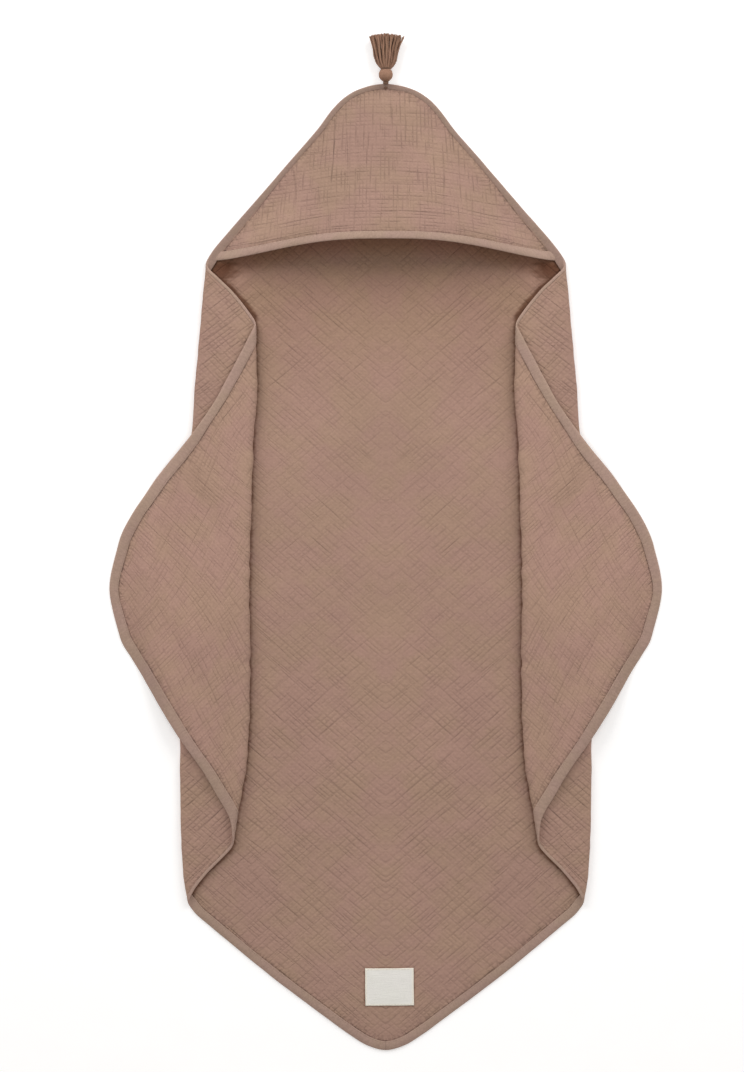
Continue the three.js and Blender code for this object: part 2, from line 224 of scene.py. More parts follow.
# The hood's own creases, in the same way.
HOOD_CREASES = table(("plan_from", "up_from", "plan_to", "up_to", "width", "height"), (
    (0.062, 0.942, 0.108, 0.886, 0.0045, 0.0008),
    (0.116, 0.876, 0.152, 0.838, 0.0050, 0.0009),
    (0.044, 0.968, 0.020, 0.977, 0.0028, -0.0008),
    (0.132, 0.866, 0.122, 0.856, 0.0030, -0.0010),
    (0.086, 0.930, 0.070, 0.846, 0.0050, -0.0006),
    (0.058, 0.940, 0.048, 0.838, 0.0060, 0.0006),
    (0.030, 0.955, 0.022, 0.842, 0.0055, -0.0006),
    (0.004, 0.960, 0.002, 0.850, 0.0060, 0.0004),
    (0.090, 0.888, 0.010, 0.900, 0.0050, 0.0004),
    (0.020, 0.868, 0.096, 0.874, 0.0050, 0.0004),
    (0.120, 0.852, 0.040, 0.858, 0.0045, -0.0005),
))
CREASE_FADE = 0.35

# How the cloth of each layer shows, with the turns between them as the first row: how much its grooves run one
# way, how much of the seam's painted dark line of shade shows, and how much of the grooves. The second layer is
# upside down.
LAY = table(("lean", "seam_shown", "grooved"), (
    (0.8, 0.4, 0.8),
    (0.8, 1.0, 0.58),
    (0.8, 0.15, 1.0),
    (0.62, 1.0, 0.74),
))
MOUTH_SEAM_SHOWN = 0.6

# The base is smoothest about this height. Farther off than the half width, more of its grooves shows.
SMOOTH_UP = 0.56
SMOOTH_HALF = 0.06
SMOOTH_FADE = 0.20
ROUGHER = 0.24

# A binding's section: distances in from its folded edge, and heights off the middle of the cloth that it
# binds. The first rows are its upper side, which is raised where it binds the hood's cloth as well.
TAPE_PROFILE = table(("inward", "height"), (
    (0.00925, 0.00072),
    (0.00915, 0.00108),
    (0.0085, 0.00122),
    (0.0066, 0.00142),
    (0.0042, 0.00146),
    (0.0022, 0.00128),
    (0.0008, 0.00088),
    (0.0002, 0.00042),
    (0.0000, 0.00000),
    (0.0002, -0.00046),
    (0.0008, -0.00078),
    (0.0017, -0.00084),
    (0.0025, -0.00078),
    (0.0029, -0.00068),
    (0.0027, -0.00058),
    (0.0018, -0.00052),
    (0.0012, 0.00000),
    (0.0018, 0.00055),
    (0.0054, 0.00064),
))
UPPER_ROWS = 9
TAPE_EDGE = 0.0100
HOOD_TAPE_SECTIONS = 260
HOOD_TAPE_REACH = 0.985
HOOD_TAPE_END = 0.55

# The stitches on the tapes, and how many are left out at each end of the mouth
STITCH_INWARD = 0.0079
STITCH_SINK = 0.00006
STITCH_FLATNESS = 0.76
STITCH_SIDES = 6
STITCH_RINGS = 4
END_STITCHES = 4

# The label's weave, hem and stitches
LABEL_COLUMNS = 60
LABEL_ROWS = 46
LABEL_HEM = 0.0022
LABEL_HEM_RISE = 0.00016
LABEL_PUFF = 0.00035
LABEL_THICKNESS = 0.00045
LABEL_STITCH_INSET = 0.0012
LABEL_STITCH_SHARE = 0.85
LABEL_LIFT = 0.00022

# The tassel's head, collar, neck and the knot that sews it to the tape
TASSEL_Z = 0.00725
HEAD_UP = 1.0037
HEAD_LENGTH = 1.06
HEAD_RIBS = 24
HEAD_RIB_DEPTH = 0.00022
HEAD_UNEVEN = 0.00018
COLLAR_UP = 1.0106
KNOT_UP = 0.9905
KNOT_Z = 0.0039
KNOT_SIZE = (0.0021, 0.0014, 0.0009)
WRAPS = table(("up", "radius", "turns"), (
    (1.0102, 0.0050, 3),
    (0.9962, 0.0025, 8),
))
WRAP_PITCH = 0.00055
WRAP_YARN = 0.00036

# The tassel's skirt, from its collar to its ends
SKIRT = table(("along", "half_width", "half_height"), (
    (0.0000, 0.0046, 0.0044),
    (0.0045, 0.0092, 0.0058),
    (0.0095, 0.0117, 0.0062),
    (0.0145, 0.0129, 0.0062),
    (0.0200, 0.0138, 0.0060),
    (0.0250, 0.0151, 0.0059),
    (0.0300, 0.0171, 0.0058),
    (0.0374, 0.0196, 0.0057),
))
SKIRT_ROOT = 0.0012
YARN_STEPS = 12
YARN_SPREAD = 0.00078
LOCK_SPREAD = 0.97
TASSEL_SEED = 7
GOLDEN_ANGLE = math.pi * (3 - math.sqrt(5))

# The photograph's frame
FRAME_WIDTH_PX = 744
FRAME_HEIGHT_PX = 1072
METRES_A_PIXEL = 0.00103
MIDDLE_LINE_PX = 385.75
LOWER_TIP_PX = 1050

# The studio
FLOOR_HALF = 6.0
FLOOR_GLOW = 0.24
KEY_PLACE = (1.40, 1.85, 1.36)
KEY_SIZE = 1.6
FILL_PLACE = (0, -0.4, 2.9)
FILL_SIZE = 2.4


def length_property(name, description, default):
    return bpy.props.FloatProperty(name=name, description=description, default=default, unit="LENGTH")


def colour_property(name, description, default):
    return bpy.props.FloatVectorProperty(
        name=name, description=description, default=default, size=3, subtype="COLOR")


class MuslinSettings(bpy.types.PropertyGroup):
    thickness: length_property("Thickness", "Thickness of the crinkled muslin", CLOTH)
    crease: bpy.props.FloatProperty(
        name="Creases", description="Height of the main creases against the model's own", default=1.0,
        subtype="FACTOR")
    pucker: length_property("Puckers", "Height of the soft puckers between the gauze's grooves", 0.00034)
    groove: length_property("Grooves", "Depth of the gauze's fine grooves", 0.00056)
    towel_colour: colour_property("Towel colour", "Dyed muslin of the towel", (0.404, 0.260, 0.201))
    hood_colour: colour_property("Hood colour", "Dyed muslin of the hood", (0.369, 0.239, 0.185))


class BindingSettings(bpy.types.PropertyGroup):
    colour: colour_property("Tape colour", "Plain cotton tape", (0.448, 0.310, 0.249))
    ripple: length_property("Ripple", "Unevenness of the tape along its length", 0.00022)
    stitch_length: length_property("Stitch", "Length of one stitch", 0.0024)
    stitch_pitch: length_property("Stitch pitch", "Distance from one stitch to the next", 0.0032)
    thread_width: length_property("Thread", "Width of the sewing thread", 0.00042)
    thread_colour: colour_property("Thread colour", "Sewing thread of the tapes", (0.34, 0.228, 0.18))


class LabelSettings(bpy.types.PropertyGroup):
    width: length_property("Width", "Width of the sewn label", 0.050)
    height: length_property("Height", "Height of the sewn label", 0.0385)
    across: length_property("Across", "From the middle line to the label's middle", 0.0038)
    up: length_property("Up", "From the lower tip to the label's middle", 0.0652)
    tilt: bpy.props.FloatProperty(
        name="Tilt", description="Turn of the label in the plane of the cloth", default=0.012, unit="ROTATION")
    colour: colour_property("Label colour", "Undyed woven cotton", (0.912, 0.898, 0.848))


class TasselSettings(bpy.types.PropertyGroup):
    locks: bpy.props.IntProperty(name="Locks", description="Twisted locks in the skirt", default=58)
    yarns: bpy.props.IntProperty(name="Yarns", description="Fine yarns in each lock", default=9)
    yarn_radius: length_property("Yarn radius", "Radius of one fine yarn", 0.00030)
    head_radius: length_property("Head radius", "Radius of the yarn-covered head", 0.0070)
    colour: colour_property("Yarn colour", "Dyed cotton yarn", (0.428, 0.246, 0.172))


class StudioSettings(bpy.types.PropertyGroup):
    camera_height: length_property("Camera height", "Height of the camera over the towel", 4.0)
    key_power: bpy.props.FloatProperty(
        name="Key light", description="Power of each of the two soft lights beyond the hood", default=30.5,
        unit="POWER")
    fill_power: bpy.props.FloatProperty(
        name="Fill light", description="Power of the soft light overhead", default=10.0, unit="POWER")
    room: bpy.props.FloatProperty(
        name="Room light", description="Strength of the even light from all round", default=0.45,
        subtype="FACTOR")
    room_colour: colour_property("Room colour", "Colour of the even light", (1.0, 0.965, 0.94))


SETTINGS = {
    "towel_muslin": MuslinSettings,
    "towel_binding": BindingSettings,
    "towel_label": LabelSettings,
    "towel_tassel": TasselSettings,
    "towel_studio": StudioSettings,
}


# The shape of the folded towel

def smoothstep(value):
    t = min(max(value, 0.0), 1.0)
    return t * t * (3 - 2 * t)


def lerp(a, b, share):
    return a + (b - a) * share


def hermite(a, b, start, end, t):
    """A number or a place on the smooth curve from a to b that leaves and arrives at the given rates."""
    return (
        a * (1 + 2 * t) * (1 - t) ** 2
        + b * (3 - 2 * t) * t ** 2
        + start * t * (1 - t) ** 2
        - end * t ** 2 * (1 - t)
    )


def column(rows, name, up):
    """A column of a table at any height up the towel, on a smooth curve through its rows."""
    last = len(rows) - 1
    if up >= rows[0]["up"]:
        return rows[0][name]
    if up <= rows[last]["up"]:
        return rows[last][name]
    i = next(k for k, row in enumerate(rows) if row["up"] < up) - 1

    def slope(a, b):
        return (rows[b][name] - rows[a][name]) / (rows[b]["up"] - rows[a]["up"])

    span = rows[i + 1]["up"] - rows[i]["up"]
    start = slope(max(i - 1, 0), i + 1) * span
    end = slope(i, min(i + 2, last)) * span
    return hermite(rows[i][name], rows[i + 1][name], start, end, (up - rows[i]["up"]) / span)


@functools.lru_cache(maxsize=None)
def turns(up):
    """Where a row's cloth turns: the folds' axes on the plan, and the turns' ends along the cloth."""
    outer = column(FOLDS, "outer", up)
    outer_axis = outer - CLOTH / 2 - FOLD_RADIUS
    inner_axis = column(FOLDS, "inner", up) + CLOTH / 2 + FOLD_RADIUS
    back_start = outer_axis + HALF_TURN
    back_end = back_start + outer_axis - inner_axis
    flap_start = back_end + HALF_TURN
    drop_start = flap_start + outer + DROP_START - inner_axis
    return outer_axis, inner_axis, back_start, back_end, flap_start, drop_start


def layer_at(s, up):
    """The layer that the cloth lies in, or 0 in a turn."""
    outer_axis, _, back_start, back_end, flap_start, _ = turns(up)
    if s <= outer_axis:
        return 1
    if back_start < s <= back_end:
        return 2
    return 3 if s > flap_start else 0


def cloth_reach(row):
    """The length of cloth from the middle line to the bound edge in a row of the edge table."""
    outer_axis, inner_axis, back_start, _, flap_start, _ = turns(row["up"])
    if row["layer"] == 1:
        return row["edge"]
    if row["layer"] == 2:
        return back_start + outer_axis - row["edge"]
    return flap_start + row["edge"] - inner_axis


def towel_surface(across, up):
    """The middle of the towel's cloth, at a distance across and a height up its flat cut."""
    s = abs(across)
    side = -1 if across < 0 else 1
    outer_axis, inner_axis, back_start, back_end, flap_start, drop_start = turns(up)
    ground = CLOTH / 2
    if s <= outer_axis:
        x, z = s, ground
    elif s <= back_start:
        angle = (s - outer_axis) / FOLD_RADIUS
        x, z = outer_axis + FOLD_RADIUS * math.sin(angle), ground + FOLD_RADIUS * (1 - math.cos(angle))
    elif s <= back_end:
        x, z = outer_axis - (s - back_start), ground + 2 * FOLD_RADIUS
    elif s <= flap_start:
        angle = (s - back_end) / FOLD_RADIUS
        x, z = inner_axis - FOLD_RADIUS * math.sin(angle), ground + FOLD_RADIUS * (3 - math.cos(angle))
    else:
        dropped = smoothstep((s - drop_start) / DROP_LENGTH)
        x, z = inner_axis + s - flap_start, ground + 4 * FOLD_RADIUS * (1 - dropped)
    return Vector((side * x, TIP_Y + up, z))


def surface_frame(surface, a, b):
    """A surface's point and its normal on the right side of the cloth."""
    along_a = surface(a + NORMAL_STEP, b) - surface(a - NORMAL_STEP, b)
    along_b = surface(a, b + NORMAL_STEP) - surface(a, b - NORMAL_STEP)
    normal = along_a.cross(along_b)
    if normal.length < NORMAL_STEP ** 3:
        normal = Vector((0, 0, 1))
    return surface(a, b), normal.normalized()


def smooth_loop(points, pieces):
    """Points along a closed centripetal curve through the given ones."""
    found = []
    count = len(points)
    for i in range(count):
        p0, p1, p2, p3 = (points[(i + k) % count] for k in (-1, 0, 1, 2))
        d0, d1, d2 = ((b - a).length ** 0.5 for a, b in ((p0, p1), (p1, p2), (p2, p3)))
        start = ((p1 - p0) / d0 - (p2 - p0) / (d0 + d1) + (p2 - p1) / d1) * d1
        end = ((p2 - p1) / d1 - (p3 - p1) / (d1 + d2) + (p3 - p2) / d2) * d1
        found += [hermite(p1, p2, start, end, k / pieces) for k in range(pieces)]
    return found


def even_stations(points, pitch):
    """Evenly spaced places along a closed line in the flat cut, each with the way in to the cloth."""
    loop = points + points[:1]
    lengths = [0.0]
    for a, b in zip(loop, loop[1:]):
        lengths.append(lengths[-1] + (b - a).length)
    count = round(lengths[-1] / pitch)
    places = []
    for k in range(count):
        along = lengths[-1] * k / count
        i = bisect.bisect_right(lengths, along) - 1
        share = (along - lengths[i]) / (lengths[i + 1] - lengths[i])
        places.append((along, loop[i].lerp(loop[i + 1], share)))
    stations = []
    for k, (along, place) in enumerate(places):
        tangent = (places[(k + 1) % count][1] - places[k - 1][1]).normalized()
        stations.append({"along": along, "place": place, "inward": Vector((tangent.y, -tangent.x))})
    return stations


RIGHT_EDGE = [Vector((cloth_reach(row), row["up"])) for row in EDGE]
LEFT_EDGE = [Vector((-point.x, point.y)) for point in reversed(RIGHT_EDGE[1:-1])]
STATIONS = even_stations(smooth_loop(RIGHT_EDGE + LEFT_EDGE, LOOP_PIECES), STATION_PITCH)
PERIMETER = len(STATIONS) * STATION_PITCH

EDGE_TREE = KDTree(len(STATIONS))
for index, station in enumerate(STATIONS):
    EDGE_TREE.insert((*station["place"], 0), index)
EDGE_TREE.balance()


def right_side(inset):
    """Heights and reaches of the line that lies an inset inside the bound edge, from the lower tip up."""
    line = [station["place"] + station["inward"] * inset for station in STATIONS]
    line = sorted((point.y, point.x) for point in line if point.x >= 0)
    return [up for up, _ in line], [reach for _, reach in line]


SIDES = {inset: right_side(inset) for inset in (PANEL_INSET, HOOD_INSET)}
HOOD_TOP = SIDES[HOOD_INSET][0][-1]


def reach_at(inset, up):
    """The half width of a piece that ends an inset inside the bound edge, at a height up the towel."""
    ups, reaches = SIDES[inset]
    if up <= ups[0] or up >= ups[-1]:
        return 0.0
    i = bisect.bisect_right(ups, up)
    return lerp(reaches[i - 1], reaches[i], (up - ups[i - 1]) / (ups[i] - ups[i - 1]))


def seam_values(across, up):
    """Along the bound edge and away from it, for the cloth at a place in the flat cut."""
    _, nearest, away = EDGE_TREE.find((across, up, 0))
    return STATIONS[nearest]["along"], away


def tape_shown(up):
    """The share of the edge's tape that shows at a height up the towel."""
    return lerp(1, SHOWN_AT_TIP, smoothstep((up - PUFF_START) / PUFF_LENGTH))


def tape_hidden(up):
    """How much of the edge's tape the hood puffs over."""
    return TAPE_EDGE * (1 - tape_shown(up))


def beside_hood(up):
    """1 where the edge's tape binds the hood as well, and 0 below the hood."""
    return smoothstep((up - MOUTH_UP + THICK_END) / THICK_END)


def bell(share):
    """1 in the middle of the width from -1 to 1, and 0 at both its ends."""
    return (1 + math.cos(math.pi * min(abs(share), 1) ** CROWN_BELL)) / 2


def hood_surface(share, up):
    """The middle of the hood's cloth: share runs from -1 to 1 between its two sewn sides."""
    opened = max((HOOD_TOP - up) / (HOOD_TOP - MOUTH_UP), 0)
    reach = reach_at(HOOD_INSET, up)
    from_seam = (1 - abs(share)) * reach
    loosened = min(from_seam, HOOD_TOP - up) + tape_hidden(up)
    sewn = lerp(HOOD_SEWN_HEIGHT, HOOD_HEIGHT, smoothstep((loosened - HOOD_SEAM_START) / HOOD_SEAM_FADE))
    gape = smoothstep((from_seam - CORNER_START) / (CORNER_PEAK - CORNER_START))
    gape *= smoothstep((CORNER_END - from_seam) / (CORNER_END - CORNER_PEAK))
    gape *= smoothstep(1 - (up - MOUTH_UP) / CORNER_DEPTH)
    freed = smoothstep((HOOD_TOP - up - TIP_HELD) / TIP_RISE)
    return Vector((
        share * reach,
        TIP_Y + up + MOUTH_ARCH * opened ** ARCH_RISE * bell(share),
        sewn + MOUTH_CROWN * opened ** CROWN_RISE * bell(share) * freed + CORNER_LIFT * gape,
    ))


def graded(low, high, pitch, first):
    """Heights from low to high, close together at the ends and a pitch apart between them."""
    rise = []
    step = first
    while step < pitch:
        rise.append((rise[-1] if rise else 0) + step)
        step *= ROW_GROWTH
    middle = high - low - 2 * rise[-1]
    count = round(middle / pitch)
    inner = [low + rise[-1] + middle * k / count for k in range(count + 1)]
    return [low, *(low + r for r in rise[:-1]), *inner, *(high - r for r in reversed(rise[:-1])), high]


def crease_height(crease, x, up):
    """How high one soft crease stands at a place on the plan. It fades out at both its ends."""
    ax, ay = crease["plan_from"], crease["up_from"]
    dx, dy = crease["plan_to"] - ax, crease["up_to"] - ay
    width = crease["width"]
    length = math.hypot(dx, dy)
    along = ((x - ax) * dx + (up - ay) * dy) / length
    off = abs((x - ax) * dy - (up - ay) * dx) / length
    if off > 3 * width or not -width < along < length + width:
        return 0.0
    fade = smoothstep((along + width) / (CREASE_FADE * length))
    fade *= smoothstep((length + width - along) / (CREASE_FADE * length))
    return crease["height"] * fade * math.exp(-((off / width) ** 2))


def crease_sum(creases, x, up):
    """How high all of a piece's creases stand at a place on the plan, the same on both sides."""
    return sum(crease_height(crease, abs(x), up) for crease in creases)


def streak(p, q, seed, across=0.011, along=0.050):
    """Soft noise drawn out along one direction of the cloth."""
    return noise.noise(Vector((p / across, q / along, seed)))


def pucker(u, v, seed):
    """The gauze's soft puckers, which run along both its threads, from 0 to about 1."""
    a = (u + v) * math.sqrt(0.5)
    b = (u - v) * math.sqrt(0.5)
    return abs(streak(a, b, seed)) + abs(streak(b, a, seed + 31.7))


# Meshes and objects

def lay_map(mesh, flat):
    """Gives a mesh its map from each vertex's place in the flat cut."""
    cut = mesh.loops.layers.uv.new("Cut")
    for face in mesh.faces:
        for loop in face.loops:
            loop[cut].uv = flat[loop.vert.index]


def laid_grid(columns, rows, place, attributes=(), closed=False):
    """A bmesh grid whose vertex in a column and a row lies at place(column, row), which gives its position, its
    place in the flat cut and a value for each attribute. Vertices that meet are merged."""
    mesh = bmesh.new()
    bmesh.ops.create_grid(mesh, x_segments=columns, y_segments=rows, size=0.5)
    layers = [mesh.verts.layers.float_vector.new(name) for name in attributes]
    flat = {}
    for vertex in mesh.verts:
        i = round((vertex.co.x + 0.5) * columns)
        j = round((vertex.co.y + 0.5) * rows)
        spot, flat[vertex.index], *values = place(i, j)
        vertex.co = spot
        for layer, value in zip(layers, values):
            vertex[layer] = value
    lay_map(mesh, flat)
    bmesh.ops.remove_doubles(mesh, verts=mesh.verts, dist=1e-6)
    if closed:
        rim = [edge for edge in mesh.edges if edge.is_boundary]
        if rim:
            bmesh.ops.holes_fill(mesh, edges=rim, sides=0)
        bmesh.ops.recalc_face_normals(mesh, faces=mesh.faces)
    return mesh


def new_object(name, data):
    thing = bpy.data.objects.new(name, data)
    bpy.context.scene.collection.objects.link(thing)
    return thing


def mesh_object(name, mesh, material):
    """An object from a bmesh, at the origin."""
    data = bpy.data.meshes.new(name)
    mesh.to_mesh(data)
    mesh.free()
    data.materials.append(material)
    return new_object(name, data)


def new_piece(name, mesh, material, slot, *nodes):
    """A finished piece, which rides on the towel's one body and stands for the solids named."""
    piece = mesh_object(name, mesh, material)
    piece.data.shade_smooth()
    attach(piece, "root")
    if nodes:
        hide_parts(*nodes)
    return piece


def give_thickness(piece, thickness, weights):
    """A live Solidify with the mesh as the cloth's middle, thinner where the seams press it."""
    group = piece.vertex_groups.new(name="Thickness")
    for index, weight in enumerate(weights):
        group.add([index], weight, "REPLACE")
    wall = piece.modifiers.new("Cloth", "SOLIDIFY")
    wall.thickness = thickness
    wall.offset = 0
    wall.use_even_offset = True
    wall.vertex_group = group.name


def muslin_piece(name, columns, rows, place, thickness, material, slot, node):
    """A piece of muslin with its wall, pressed thin beside its seams."""
    mesh = laid_grid(columns, rows, place, ("seam", "lay", "shade"))
    seam = mesh.verts.layers.float_vector["seam"]
    free = [smoothstep((vertex[seam].y - PRESSED_WIDTH) / PRESSED_FADE) for vertex in mesh.verts]
    piece = new_piece(name, mesh, material, slot, node)
    give_thickness(piece, thickness, [lerp(PRESSED, 1, share) for share in free])
    return piece


# Shader nodes

class Nodes:
    """The nodes of a material or a node group. Each call adds what it names and links it."""

    def __init__(self, tree):
        self.nodes = tree.nodes
        self.links = tree.links

    def add(self, kind, inputs=None, **settings):
        node = self.nodes.new("ShaderNode" + kind)
        for name, value in settings.items():
            setattr(node, name, value)
        for key, value in (inputs or {}).items():
            self.put(node.inputs[key], value)
        return node

    def put(self, socket, value):
        if isinstance(value, bpy.types.NodeSocket):
            self.links.new(value, socket)
        else:
            socket.default_value = value

    def group(self, tree, **inputs):
        """A node group. Underscores in its inputs' names stand for spaces."""
        return self.add("Group", {name.replace("_", " "): value for name, value in inputs.items()},
                        node_tree=tree).outputs

    def math(self, operation, *values):
        return self.add("Math", dict(enumerate(values)), operation=operation).outputs[0]

    def plus(self, a, b):
        return self.math("ADD", a, b)

    def minus(self, a, b):
        return self.math("SUBTRACT", a, b)

    def times(self, a, b):
        return self.math("MULTIPLY", a, b)

    def over(self, a, b):
        return self.math("DIVIDE", a, b)

    def join(self, x, y, z=0.0):
        return self.add("CombineXYZ", {"X": x, "Y": y, "Z": z}).outputs[0]

    def split(self, vector):
        return self.add("SeparateXYZ", {"Vector": vector}).outputs

    def attribute(self, name):
        """The three parts of an attribute that a piece carries."""
        return self.split(self.add("Attribute", attribute_name=name).outputs["Vector"])

    def cut(self):
        """The place in the flat cut."""
        return self.add("UVMap", uv_map="Cut").outputs["UV"]

    def place(self):
        return self.add("TexCoord").outputs["Object"]

    def bias(self, cut):
        """The flat cut turned so that the threads run at 45 degrees to its axes."""
        return self.add("Mapping", {"Vector": cut, "Rotation": (0, 0, math.radians(45))}).outputs["Vector"]

    def noise(self, vector, scale=1.0, detail=0.0, roughness=0.5):
        inputs = {"Vector": vector, "Scale": scale, "Detail": detail, "Roughness": roughness}
        return self.add("TexNoise", inputs).outputs["Fac"]

    def drawn_noise(self, x, wide, y, tall, seed, detail=1.0):
        """Soft noise in patches of a given width and height."""
        return self.noise(self.join(self.over(x, wide), self.over(y, tall), seed), detail=detail)

    def ramp(self, value, low, high, to_low=0.0, to_high=1.0):
        """A value's way from one number to another, eased at both ends."""
        inputs = {"Value": value, "From Min": low, "From Max": high, "To Min": to_low, "To Max": to_high}
        return self.add("MapRange", inputs, interpolation_type="SMOOTHSTEP").outputs[0]

    def near(self, value, middle, low, high):
        """1 where a value is close to a middle one, and 0 where it is farther off than high."""
        return self.ramp(self.math("ABSOLUTE", self.minus(value, middle)), low, high, 1.0, 0.0)

    def mix(self, share, a, b, blend="MIX"):
        node = self.add("Mix", data_type="RGBA", blend_type=blend)
        for socket, value in ((node.inputs[0], share), (node.inputs[6], a), (node.inputs[7], b)):
            self.put(socket, value)
        return node.outputs[2]

    def tint(self, colour, mask, by):
        """A colour multiplied by a number for each channel where the mask is 1."""
        return self.mix(mask, colour, (*by, 1), "MULTIPLY")

    def darken(self, colour, *masks):
        """A colour made darker by each mask's amount where that mask is 1."""
        for mask, amount in masks:
            colour = self.tint(colour, mask, (1 - amount, 1 - amount, 1 - amount))
        return colour


SOCKETS = {
    "float": "NodeSocketFloat",
    "vector": "NodeSocketVector",
    "colour": "NodeSocketColor",
}


def effect(name, inputs, outputs):
    """An empty shader node group with named sockets, its nodes, its inputs and its output node."""
    tree = bpy.data.node_groups.new(name, "ShaderNodeTree")
    for label, kind, default in inputs:
        socket = tree.interface.new_socket(name=label, in_out="INPUT", socket_type=SOCKETS[kind])
        socket.default_value = default
    for label, kind in outputs:
        tree.interface.new_socket(name=label, in_out="OUTPUT", socket_type=SOCKETS[kind])
    nodes = Nodes(tree)
    given = tree.nodes.new("NodeGroupInput").outputs
    result = tree.nodes.new("NodeGroupOutput")
    return tree, nodes, given, result.inputs


# Builds a node group or a material the first time that it is asked for
shared = functools.lru_cache(maxsize=None)

# How the gauze's grooves waver: over what length of a groove, by how many spacings at most, and how unlike
# its neighbour each groove is
WAVER_LENGTH = 0.21
WAVER = 1.7
WAVER_STEP = 0.37

# How unlike its neighbour each groove's breaks are, and the noise over which a groove fades in from a break
BREAK_STEP = 5.37
BREAK_RANGE = (0.38, 0.66)

# How strong the grooves across the lean are at least, and how high the cloth puffs between grooves, both
# against a full groove
WEAKER = 0.62
PILLOW = 0.6


@shared
def crinkle_effect():
    """The gauze's straight grooves along both its threads, each broken into stretches of its own."""
    tree, nodes, given, result = effect(
        "Gauze crinkle",
        (("Vector", "vector", (0, 0, 0)), ("Lean", "float", 0.5), ("Spacing", "float", 0.006),
         ("Length", "float", 0.045), ("Width", "float", 0.12), ("Depth", "float", 0.0003),
         ("Seed", "float", 0.0)),
        (("Height", "float"), ("Groove", "float")),
    )
    x, y, _ = nodes.split(given["Vector"])
    grooves = []
    pillows = []
    for p, q, seed, weight in (
        (x, y, 0.0, nodes.ramp(given["Lean"], 0.0, 1.0, WEAKER, 1.0)),
        (y, x, 9.3, nodes.ramp(given["Lean"], 0.0, 1.0, 1.0, WEAKER)),
    ):
        place = nodes.plus(given["Seed"], seed)
        count = nodes.over(p, given["Spacing"])
        waver = nodes.noise(
            nodes.join(nodes.times(count, WAVER_STEP), nodes.over(q, WAVER_LENGTH), place), detail=1.0)
        phase = nodes.plus(count, nodes.times(waver, WAVER))
        number = nodes.math("FLOOR", phase)
        away = nodes.math("ABSOLUTE", nodes.minus(nodes.math("FRACT", phase), 0.5))
        line = nodes.ramp(away, 0.0, given["Width"], 1.0, 0.0)
        stretch = nodes.join(nodes.times(number, BREAK_STEP), nodes.over(q, given["Length"]), place)
        broken = nodes.ramp(nodes.noise(stretch, detail=1.0), *BREAK_RANGE)
        grooves.append(nodes.times(nodes.times(line, broken), weight))
        pillows.append(nodes.ramp(away, 0.0, 0.45))
    groove = nodes.math("MAXIMUM", *grooves)
    height = nodes.minus(nodes.times(nodes.times(*pillows), PILLOW), groove)
    nodes.put(result["Height"], nodes.times(height, given["Depth"]))
    nodes.put(result["Groove"], groove)
    return tree


@shared
def thread_effect():
    """Fine threads both ways, with slubs that run along them."""
    tree, nodes, given, result = effect(
        "Plain weave",
        (("Vector", "vector", (0, 0, 0)), ("Pitch", "float", 0.0009), ("Depth", "float", 0.00004)),
        (("Height", "float"), ("Slub", "float")),
    )
    x, y, _ = nodes.split(given["Vector"])
    turn = nodes.over(2 * math.pi, given["Pitch"])
    weave = nodes.times(*(nodes.math("SINE", nodes.times(axis, turn)) for axis in (x, y)))
    slubs = [
        nodes.drawn_noise(p, given["Pitch"], q, 0.014, seed)
        for p, q, seed in ((x, y, 2.0), (y, x, 6.0))]
    slub = nodes.times(nodes.plus(*slubs), 0.5)
    nodes.put(result["Height"], nodes.times(nodes.plus(weave, nodes.times(slub, 3.0)), given["Depth"]))
    nodes.put(result["Slub"], slub)
    return tree


# The dye drifts to the pink and to the straw side in patches, and to a darker and a lighter shade in others.
# The shades' rows give the size of the patches, as a noise scale, and how far they go each way.
PINK_SIDE = (1.01, 0.975, 1.0)
STRAW_SIDE = (1.0, 1.01, 0.955)
DYE_SHADES = ((9.0, 0.035), (430.0, 0.045))


@shared
def dye_effect():
    """A dyed colour that drifts a little, to the pink and to the straw side, in soft patches."""
    tree, nodes, given, result = effect(
        "Uneven dye",
        (("Vector", "vector", (0, 0, 0)), ("Colour", "colour", (0.5, 0.5, 0.5, 1)), ("Amount", "float", 1.0)),
        (("Colour", "colour"),),
    )
    patches = nodes.noise(given["Vector"], scale=21.0, detail=3.0, roughness=0.55)
    pink, straw = (nodes.tint(given["Colour"], 1.0, side) for side in (PINK_SIDE, STRAW_SIDE))
    hue = nodes.mix(nodes.ramp(patches, 0.36, 0.64), pink, straw)
    shade = nodes.times(*(
        nodes.ramp(nodes.noise(given["Vector"], scale=scale, detail=2.0), 0.3, 0.7, 1 - far, 1 + far)
        for scale, far in DYE_SHADES))
    shaded = nodes.mix(1.0, hue, nodes.join(shade, shade, shade), "MULTIPLY")
    nodes.put(result["Colour"], nodes.mix(given["Amount"], given["Colour"], shaded))
    return tree


SEAM_START = 0.0092


